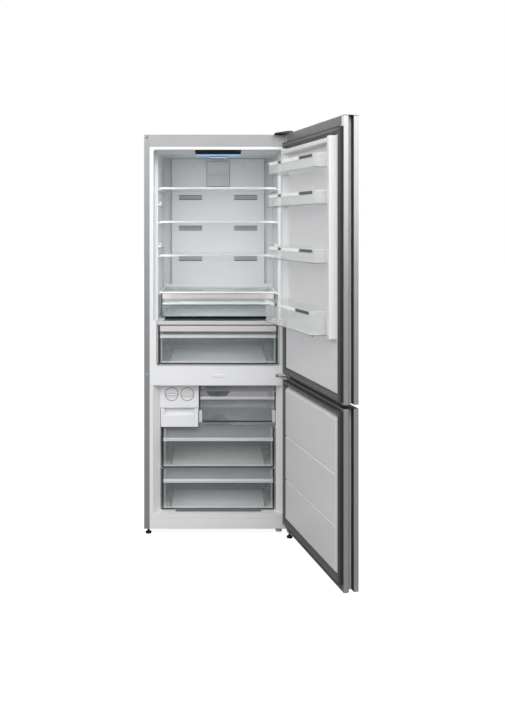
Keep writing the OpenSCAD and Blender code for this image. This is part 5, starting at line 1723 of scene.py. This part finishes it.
@dataclass
class Freezer:
    """The fan's grille, the ice knobs' ribs, painted shade round the knobs and along the ribs, and the flap's
    arms.

    Attributes:
        grille_rings: How many rings the grille has.
        grille_r: The outermost ring's radius.
        grille_hub_r: The innermost ring's radius.
        grille_out: How far the grille's middle stands before the rear cover.
        ring_w: A ring's width.
        spokes: How many spokes cross the rings.
        spoke_half: Half of a spoke's width.
        gap_shade_r: The radius of the grey ring of painted shade in the gap round a knob.
        rib_half: Half the length of a knob's rib.
        rib_z: The rib's foot and top, from the knob's middle.
        rib_edge: How far the grey base, painted shadow along the rib's edges, reaches past the rib.
        arm_x: The ends of the flap's two arms.
        arm_y: Their front and back, from the flap's front.
        arm_z: Their foot and top.
    """

    grille_rings: int = 7
    grille_r: float = 67.0
    grille_hub_r: float = 12.0
    grille_out: float = 1.4
    ring_w: float = 6.6
    spokes: int = 4
    spoke_half: float = 1.6
    gap_shade_r: float = 31.8
    rib_half: float = 25.0
    rib_z: Span = (-6.0, 1.0)
    rib_edge: float = 1.8
    arm_x: tuple[Span, Span] = ((-426.0, -411.0), (-76.0, -61.0))
    arm_y: Span = (-1.6, 1.0)
    arm_z: Span = (520.0, 579.0)

    def build(self) -> None:
        """Makes the freezer's pieces."""
        self.fan_grille()
        self.knobs()
        self.flap_arms()

    def fan_grille(self) -> None:
        """Guards the fan with rings on slanting spokes."""
        low, high = node_box("fan_rotor")
        face = node_box("freezer_rear_cover")[0][1] - self.grille_out
        centre = ((low[0] + high[0]) / 2, face, (low[2] + high[2]) / 2)
        shells = []
        for radius in np.linspace(self.grille_hub_r, self.grille_r, self.grille_rings):
            inner, outer = radius - self.ring_w / 2, radius + self.ring_w / 2
            front = [(inner, 0.3), (inner + 0.5, -1.2), (outer - 0.5, -1.2), (outer, 0.3)]
            shells.append(lathe(front + [(outer, 1.6), (inner, 1.6)], centre, steps=48))
        hub = [(0.0, -1.6), (7.0, -1.6), (9.0, -0.6), (9.5, 1.6), (0.0, 1.6)]
        shells.append(lathe(hub, centre))
        half = self.spoke_half
        for spoke in range(self.spokes):
            turn = (spoke + 0.5) * 2 * math.pi / self.spokes
            cos, sin = math.cos(turn), math.sin(turn)
            reach = (self.grille_hub_r / 2, self.grille_r)
            bar = slab((-half, half), reach, (-0.8, 1.4), radius=1.4, fillet=0.3)
            across, up = bar.points[:, 0].copy(), bar.points[:, 2].copy()
            bar.points[:, 0] = centre[0] + across * cos - up * sin
            bar.points[:, 2] = centre[2] + across * sin + up * cos
            bar.points[:, 1] += centre[1]
            shells.append(bar)
        join_shells(shells).make("fan_grille", GRILLE_PLASTIC, "cabinet")

    def knobs(self) -> None:
        """Paints a grey ring of shade in the gap round each knob, and raises the knob's rib on a grey base
        that paints its shadow.
        """
        housing = node_box("ice_maker_housing")[0][1]
        r, edge = self.gap_shade_r, self.rib_edge
        seat = [(r - 1.8, 0.4), (r - 1.5, -0.7), (r + 0.7, -0.7), (r + 1.1, 0.4)]
        for side in ("left", "right"):
            low, high = node_box(f"ice_knob_{side}")
            x, face, z = (low[0] + high[0]) / 2, low[1], (low[2] + high[2]) / 2
            lathe(seat, (x, housing, z), steps=64).make(f"knob_gap_shade_{side}", CAP_PLASTIC, "cabinet")
            span = (x - self.rib_half, x + self.rib_half)
            rise = (z + self.rib_z[0], z + self.rib_z[1])
            rib = slab(span, rise, (face - 2.0, face + 1.0), radius=2.0, fillet=0.8)
            rib.make(f"knob_rib_{side}", WHITE_PLASTIC, f"{side}_knob")
            wide, tall = (span[0] - edge, span[1] + edge), (rise[0] - edge, rise[1] + edge)
            base = slab(wide, tall, (face - 0.5, face + 0.6), radius=3.0, fillet=0.3)
            base.make(f"knob_rib_shadow_{side}", RIB_SHADOW_GREY, f"{side}_knob")

    def flap_arms(self) -> None:
        """Shows the white hinge arm at each lower corner of the flap."""
        depth = (FLAP_FRONT + self.arm_y[0], FLAP_FRONT + self.arm_y[1])
        for name, span in zip(("left", "right"), self.arm_x):
            arm = slab(span, self.arm_z, depth, radius=5.0, fillet=1.0)
            arm.make(f"flap_arm_{name}", FILTER_LIGHT, "flap")


@dataclass
class MachineBay:
    """The compressor's pipes and what shows low at the back.

    Attributes:
        pot: The middle of the compressor's pot.
        suction: The suction pipe's path, from the pot's middle at floor level.
        discharge: The discharge pipe's path, the same way.
        suction_r: The suction pipe's radius.
        discharge_r: The discharge pipe's radius.
        cover_half: Half the terminal cover's width.
        cover_y: Its front and back, from the pot's middle.
        cover_z: Its foot and top.
        bead_x: Where the rear panel's beads run.
        bead_half: Half a bead's width.
        bead_end: How far the beads stay in from the panel's foot and top.
        screw_in: How far the panel's screws stay in from its sides.
        screw_end: How far they stay in from its foot and top.
        screw_count: How many each side has.
    """

    pot: Span = (-495.0, 540.0)
    suction: tuple[Point, ...] = (
        (58.0, 0.0, 110.0),
        (100.0, 0.0, 112.0),
        (150.0, 10.0, 120.0),
        (190.0, 25.0, 170.0),
        (195.0, 25.0, 244.0),
    )
    discharge: tuple[Point, ...] = (
        (50.0, -30.0, 80.0),
        (110.0, -32.0, 78.0),
        (210.0, -20.0, 84.0),
        (260.0, 0.0, 140.0),
        (265.0, 8.0, 244.0),
    )
    suction_r: float = 4.4
    discharge_r: float = 3.2
    cover_half: float = 26.0
    cover_y: Span = (70.0, 88.0)
    cover_z: Span = (70.0, 130.0)
    bead_x: tuple[float, ...] = (-560.0, -335.0, -110.0)
    bead_half: float = 14.0
    bead_end: float = 60.0
    screw_in: float = 9.0
    screw_end: float = 20.0
    screw_count: int = 7

    def build(self) -> None:
        """Makes the pipes, the terminal cover and the rear panel's beads and screws."""
        self.pipe("suction_pipe", self.suction, self.suction_r, 14)
        self.pipe("discharge_pipe", self.discharge, self.discharge_r, 12)
        self.terminal_cover()
        self.panel_beads()
        self.panel_screws()

    def pipe(self, name: str, path: tuple[Point, ...], radius: float, sides: int) -> None:
        """Bends one copper pipe from the pot up to the cabinet's foam.

        Args:
            name: The piece's name.
            path: Its path, from the pot's middle at floor level.
            radius: Its radius.
            sides: How many points go round it.
        """
        stations = [(self.pot[0] + x, self.pot[1] + y, z) for x, y, z in path]
        tube(stations, radius, sides, per=12).make(name, COPPER, "cabinet")

    def terminal_cover(self) -> None:
        """Clips the terminal cover on the pot's rear side."""
        x, y = self.pot
        span = (x - self.cover_half, x + self.cover_half)
        shell = slab(span, self.cover_z, (y + self.cover_y[0], y + self.cover_y[1]), radius=6.0, fillet=2.0)
        shell.make("compressor_terminal_cover", DARK_PLASTIC, "cabinet")

    def panel_beads(self) -> None:
        """Presses stiffening beads into the rear panel."""
        low, high = node_box("rear_panel")
        rise = (low[2] + self.bead_end, high[2] - self.bead_end)
        depth = (high[1] - 0.5, high[1] + 2.0)
        spans = [(x - self.bead_half, x + self.bead_half) for x in self.bead_x]
        shells = [slab(span, rise, depth, radius=13.0, fillet=1.6) for span in spans]
        join_shells(shells).make("rear_panel_beads", ZINC_SHEET, "cabinet")

    def panel_screws(self) -> None:
        """Fastens the rear panel along both sides."""
        low, high = node_box("rear_panel")
        shells = [
            Screw((x, high[1], z), way=1).shell()
            for x in (low[0] + self.screw_in, high[0] - self.screw_in)
            for z in np.linspace(low[2] + self.screw_end, high[2] - self.screw_end, self.screw_count)
        ]
        join_shells(shells).make("rear_panel_screws", SCREW_STEEL, "cabinet")


@dataclass
class Cabinet:
    """Small pieces on the cabinet's front.

    Attributes:
        pillar_x: The middle of the free pillar.
        screw_z: The height of its screw.
        plug_z: The height of its plug.
        plug_face: That plug's face, as (radius, depth).
        slot_half: Half the length of the middle bar's plug.
        slot_z: That plug's foot and top.
        seam_down: How far the seam's painted shade line lies under the bottom strip's top.
        seam_h: The seam's height.
    """

    pillar_x: float = -672.0
    screw_z: float = 1879.0
    plug_z: float = 760.0
    plug_face: tuple[Span, ...] = ((0.0, -0.9), (2.6, -0.8), (3.4, -0.3), (3.5, 0.4), (0.0, 0.4))
    slot_half: float = 28.5
    slot_z: Span = (743.4, 758.6)
    seam_down: float = 4.0
    seam_h: float = 1.6

    def build(self) -> None:
        """Makes the pillar's screw and plug, the middle bar's plug and the painted shade line in the bottom
        strip's seam.
        """
        self.pillar_screw()
        self.pillar_plug()
        self.mullion_plug()
        self.plinth_seam_shade()

    def pillar_screw(self) -> None:
        """Puts a screw in the top of the free pillar."""
        screw = Screw((self.pillar_x, CAB_FRONT, self.screw_z), head_r=4.4, head_h=1.6)
        screw.shell().make("pillar_screw", DARK_STEEL, "cabinet")

    def pillar_plug(self) -> None:
        """Closes the spare hinge hole in the free pillar with a pale plug."""
        plug = lathe(self.plug_face, (self.pillar_x, CAB_FRONT, self.plug_z), steps=24)
        plug.make("pillar_plug", FILTER_LIGHT, "cabinet")

    def mullion_plug(self) -> None:
        """Closes the spare slot in the middle bar with a long round-ended plug."""
        front = node_box("mullion_cover")[0][1]
        span = (MID_X - self.slot_half, MID_X + self.slot_half)
        plug = slab(span, self.slot_z, (front - 0.8, front + 2.0), radius=7.4, fillet=1.3)
        plug.make("mullion_plug", WHITE_PLASTIC, "cabinet")

    def plinth_seam_shade(self) -> None:
        """Lays a grey line along the top of the bottom strip: painted shade in its seam."""
        low, high = node_box("plinth")
        foot = high[2] - self.seam_down
        depth = (low[1] - 0.15, low[1] + 2.0)
        seam = slab((low[0] + 1.0, high[0] - 1.0), (foot, foot + self.seam_h), depth, radius=0.5, fillet=0.2)
        seam.make("plinth_seam_shade", FILTER_LIGHT, "cabinet")


@dataclass(frozen=True)
class SoftBox:
    """An area lamp that faces a target and isn't seen itself.

    Attributes:
        name: The lamp's name.
        place: Where it hangs, in metres.
        target: Where it points, in metres.
        size: Its width and height in metres.
        power: Its power in watts.
    """

    name: str
    place: Point
    target: Point
    size: Span
    power: float

    def hang(self) -> None:
        """Adds the lamp."""
        data = bpy.data.lights.new(self.name, "AREA")
        data.shape = "RECTANGLE"
        data.size, data.size_y = self.size
        data.energy = self.power
        lamp = bpy.data.objects.new(self.name, data)
        lamp.location = self.place
        aim = np.array(self.target) - np.array(self.place)
        pitch = math.atan2(math.hypot(aim[0], aim[1]), -aim[2])
        yaw = math.atan2(aim[1], aim[0]) - math.pi / 2
        lamp.rotation_euler = (pitch, 0.0, yaw)
        lamp.visible_camera = False
        bpy.context.scene.collection.objects.link(lamp)


# Large soft boxes round the object, and small lamps inside its compartments, which have less than a watt
LAMPS = (
    SoftBox("key_lamp", (-1.6, -2.5, 3.1), (-0.3, 0.0, 0.9), (2.0, 2.0), 50.0),
    SoftBox("fill_lamp", (0.9, -2.3, 3.2), (-0.1, -0.3, 1.1), (1.4, 1.4), 42.0),
    SoftBox("front_lamp", (-0.7, -5.2, 2.4), (-0.35, 0.3, 1.1), (3.0, 3.0), 44.0),
    SoftBox("top_lamp", (-0.3, 0.6, 4.2), (-0.3, 0.2, 1.0), (2.6, 2.6), 16.0),
    SoftBox("ceiling_lamp", (-0.335, 0.16, 1.79), (-0.335, 0.35, 1.0), (0.2, 0.2), 0.27),
    SoftBox("left_wall_lamp", (-0.6, 0.1, 1.32), (-0.42, 0.5, 1.32), (0.04, 0.8), 0.18),
    SoftBox("right_wall_lamp", (-0.07, 0.1, 1.32), (-0.25, 0.5, 1.32), (0.04, 0.8), 0.18),
    SoftBox("edge_lamp", (1.8, -2.95, 2.1), (0.15, -0.6, 1.6), (0.7, 1.3), 5.0),
    SoftBox("rear_lamp", (-1.5, 3.6, 2.6), (-0.3, 0.7, 0.9), (2.0, 2.0), 46.0),
    SoftBox("side_lamp", (3.0, 1.6, 2.4), (0.0, 0.3, 1.0), (1.6, 1.6), 34.0),
    SoftBox("freezer_lamp", (-0.24, 0.2, 0.66), (-0.24, 0.48, 0.56), (0.24, 0.05), 0.13),
)
# The height and the power of the lamp over each drawer
DRAWER_LAMPS = ((1.125, 0.2), (0.98, 0.18), (0.49, 0.078), (0.292, 0.11))


@dataclass
class Studio:
    """The pale floor, the soft lamps and the camera.

    Attributes:
        image_width: The photograph's width in pixels.
        image_height: The photograph's height in pixels.
        focal_px: The focal length in those pixels.
        eye: Where the camera stands, in metres.
        centre_px: The image point straight ahead of the camera.
        floor_reach: How far the floor reaches each way, in metres.
        floor_glow: The light that the floor adds where the camera sees it, so that it looks white.
        sky_low: The strength of the light from below the horizon.
        sky_high: The strength of the light from above it.
        sky_turn: How far over and under the horizon the one passes into the other.
    """

    image_width: float = 505.0
    image_height: float = 704.0
    focal_px: float = 815.0
    eye: Point = (-0.335, -3.82, 1.457)
    centre_px: Span = (218.1, 226.7)
    floor_reach: float = 30.0
    floor_glow: float = 0.92
    sky_low: float = 0.16
    sky_high: float = 0.5
    sky_turn: float = 0.2

    def build(self) -> None:
        """Makes the camera, the lamps, the world and the floor."""
        self.camera()
        self.lamps()
        self.world()
        self.floor()

    def camera(self) -> None:
        """Looks level along +Y, with the frame shifted as in the photograph."""
        data = bpy.data.cameras.new("camera")
        data.sensor_width = 36.0
        data.lens = self.focal_px / self.image_height * data.sensor_width
        data.shift_x = (self.image_width / 2 - self.centre_px[0]) / self.image_height
        data.shift_y = -(self.image_height / 2 - self.centre_px[1]) / self.image_height
        data.clip_end = 50.0
        camera = bpy.data.objects.new("camera", data)
        camera.location = self.eye
        camera.rotation_euler = (math.pi / 2, 0.0, 0.0)
        bpy.context.scene.collection.objects.link(camera)
        bpy.context.scene.camera = camera

    def lamps(self) -> None:
        """Hangs the soft boxes, and a small lamp that looks down into each drawer."""
        for lamp in LAMPS:
            lamp.hang()
        for z, power in DRAWER_LAMPS:
            name = f"drawer_lamp_{round(z / MM)}"
            SoftBox(name, (-0.335, 0.24, z), (-0.335, 0.25, z - 0.3), (0.4, 0.22), power).hang()

    def world(self) -> None:
        """Lights softly, more from above, and is plain white where the camera sees it."""
        world = bpy.data.worlds.new("studio")
        world.use_nodes = True
        bpy.context.scene.world = world
        tree = world.node_tree
        back = tree.nodes["Background"]
        path = add_node(tree, "ShaderNodeLightPath")
        rays = {0: path.outputs["Is Camera Ray"], 1: path.outputs["Is Transmission Ray"]}
        seen = add_node(tree, "ShaderNodeMath", rays, operation="MAXIMUM").outputs[0]
        way = add_node(tree, "ShaderNodeTexCoord").outputs["Generated"]
        reach = {
            "Value": add_node(tree, "ShaderNodeSeparateXYZ", {"Vector": way}).outputs["Z"],
            "From Min": -self.sky_turn,
            "From Max": self.sky_turn,
            "To Min": self.sky_low,
            "To Max": self.sky_high,
        }
        sky = add_node(tree, "ShaderNodeMapRange", reach).outputs["Result"]
        level = add_node(tree, "ShaderNodeMapRange", {"Value": seen, "To Min": sky, "To Max": 1.0})
        back.inputs["Color"].default_value = linear("#ffffff")
        tree.links.new(level.outputs["Result"], back.inputs["Strength"])

    def floor(self) -> None:
        """Lays a wide white paper floor that keeps the soft shadow and is flagged off from the steel."""
        far = self.floor_reach
        corners = [(-far, -far, 0.0), (far, -far, 0.0), (far, far, 0.0), (-far, far, 0.0)]
        mesh = bpy.data.meshes.new("floor")
        mesh.from_pydata(corners, [], [(0, 1, 2, 3)])
        mesh.materials.append(self.paper())
        floor = bpy.data.objects.new("floor", mesh)
        bpy.context.scene.collection.objects.link(floor)

    def paper(self) -> bpy.types.Material:
        """Builds matt white paper, darker where the steel mirrors it and lit up where the camera sees it.

        Returns:
            The material.
        """
        made = bpy.data.materials.new("floor_white_paper")
        made.use_nodes = True
        tree = made.node_tree
        shader = tree.nodes["Principled BSDF"]
        shader.inputs["Roughness"].default_value = 0.9
        path = add_node(tree, "ShaderNodeLightPath")
        mirrored = path.outputs["Is Glossy Ray"]
        colours = {"Factor": mirrored, MIX_A: linear("#909090"), MIX_B: linear("#454545")}
        colour = add_node(tree, "ShaderNodeMix", colours, data_type="RGBA").outputs[MIX_OUT]
        tree.links.new(colour, shader.inputs["Base Color"])
        light = {"Color": linear("#ffffff"), "Strength": self.floor_glow}
        glow = add_node(tree, "ShaderNodeEmission", light).outputs["Emission"]
        plain = shader.outputs["BSDF"]
        lit = add_node(tree, "ShaderNodeAddShader", {0: plain, 1: glow}).outputs["Shader"]
        choice = {0: path.outputs["Is Camera Ray"], 1: plain, 2: lit}
        shown = add_node(tree, "ShaderNodeMixShader", choice).outputs["Shader"]
        tree.links.new(shown, tree.nodes["Material Output"].inputs["Surface"])
        return made


def drawers() -> list[Drawer]:
    """Lists the drawers and the flap, whose fronts show the same parts.

    Returns:
        One entry for each, with its own sizes.
    """
    leaning = {"side_in": 25.0, "lip_low": 4.0, "lip_high": 6.0}
    freezer_front = node_box("middle_freezer_drawer")[0][1]
    return [
        Drawer("crisper_drawer", "crisper", 50.0, bar_h=26.0, side_in=28.0, lip_shadow_h=42.0, side_top=25.0),
        Drawer("chiller_drawer", "chiller", 46.0, bar_h=25.0, lip_shadow_h=5.0, band_finish=LIP_PLASTIC),
        Drawer("middle_freezer_drawer", "middle_drawer", 63.0, **leaning),
        Drawer(
            "bottom_freezer_drawer",
            "bottom_drawer",
            62.0,
            front_y=freezer_front,
            foot_grip=(-540.0, -126.0),
            **leaning,
        ),
        Drawer(
            "freezer_flap",
            "flap",
            65.0,
            front_y=FLAP_FRONT,
            band_h=34.0,
            grip_d=8.0,
            lip_shadow_h=34.0,
            whole_rim=True,
        ),
    ]


def main() -> None:
    """Builds the studio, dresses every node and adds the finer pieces."""
    logging.basicConfig(level=logging.INFO, format="%(name)s: %(message)s")
    bpy.context.scene.view_settings.view_transform = "Standard"
    Studio().build()
    dress_nodes()
    parts = [Door("upper_door"), Door("lower_door"), DoorBins(), *drawers()]
    parts += [UpperCompartment(), Freezer(), Cabinet(), MachineBay()]
    for part in parts:
        part.build()


if __name__ == "__main__":
    main()
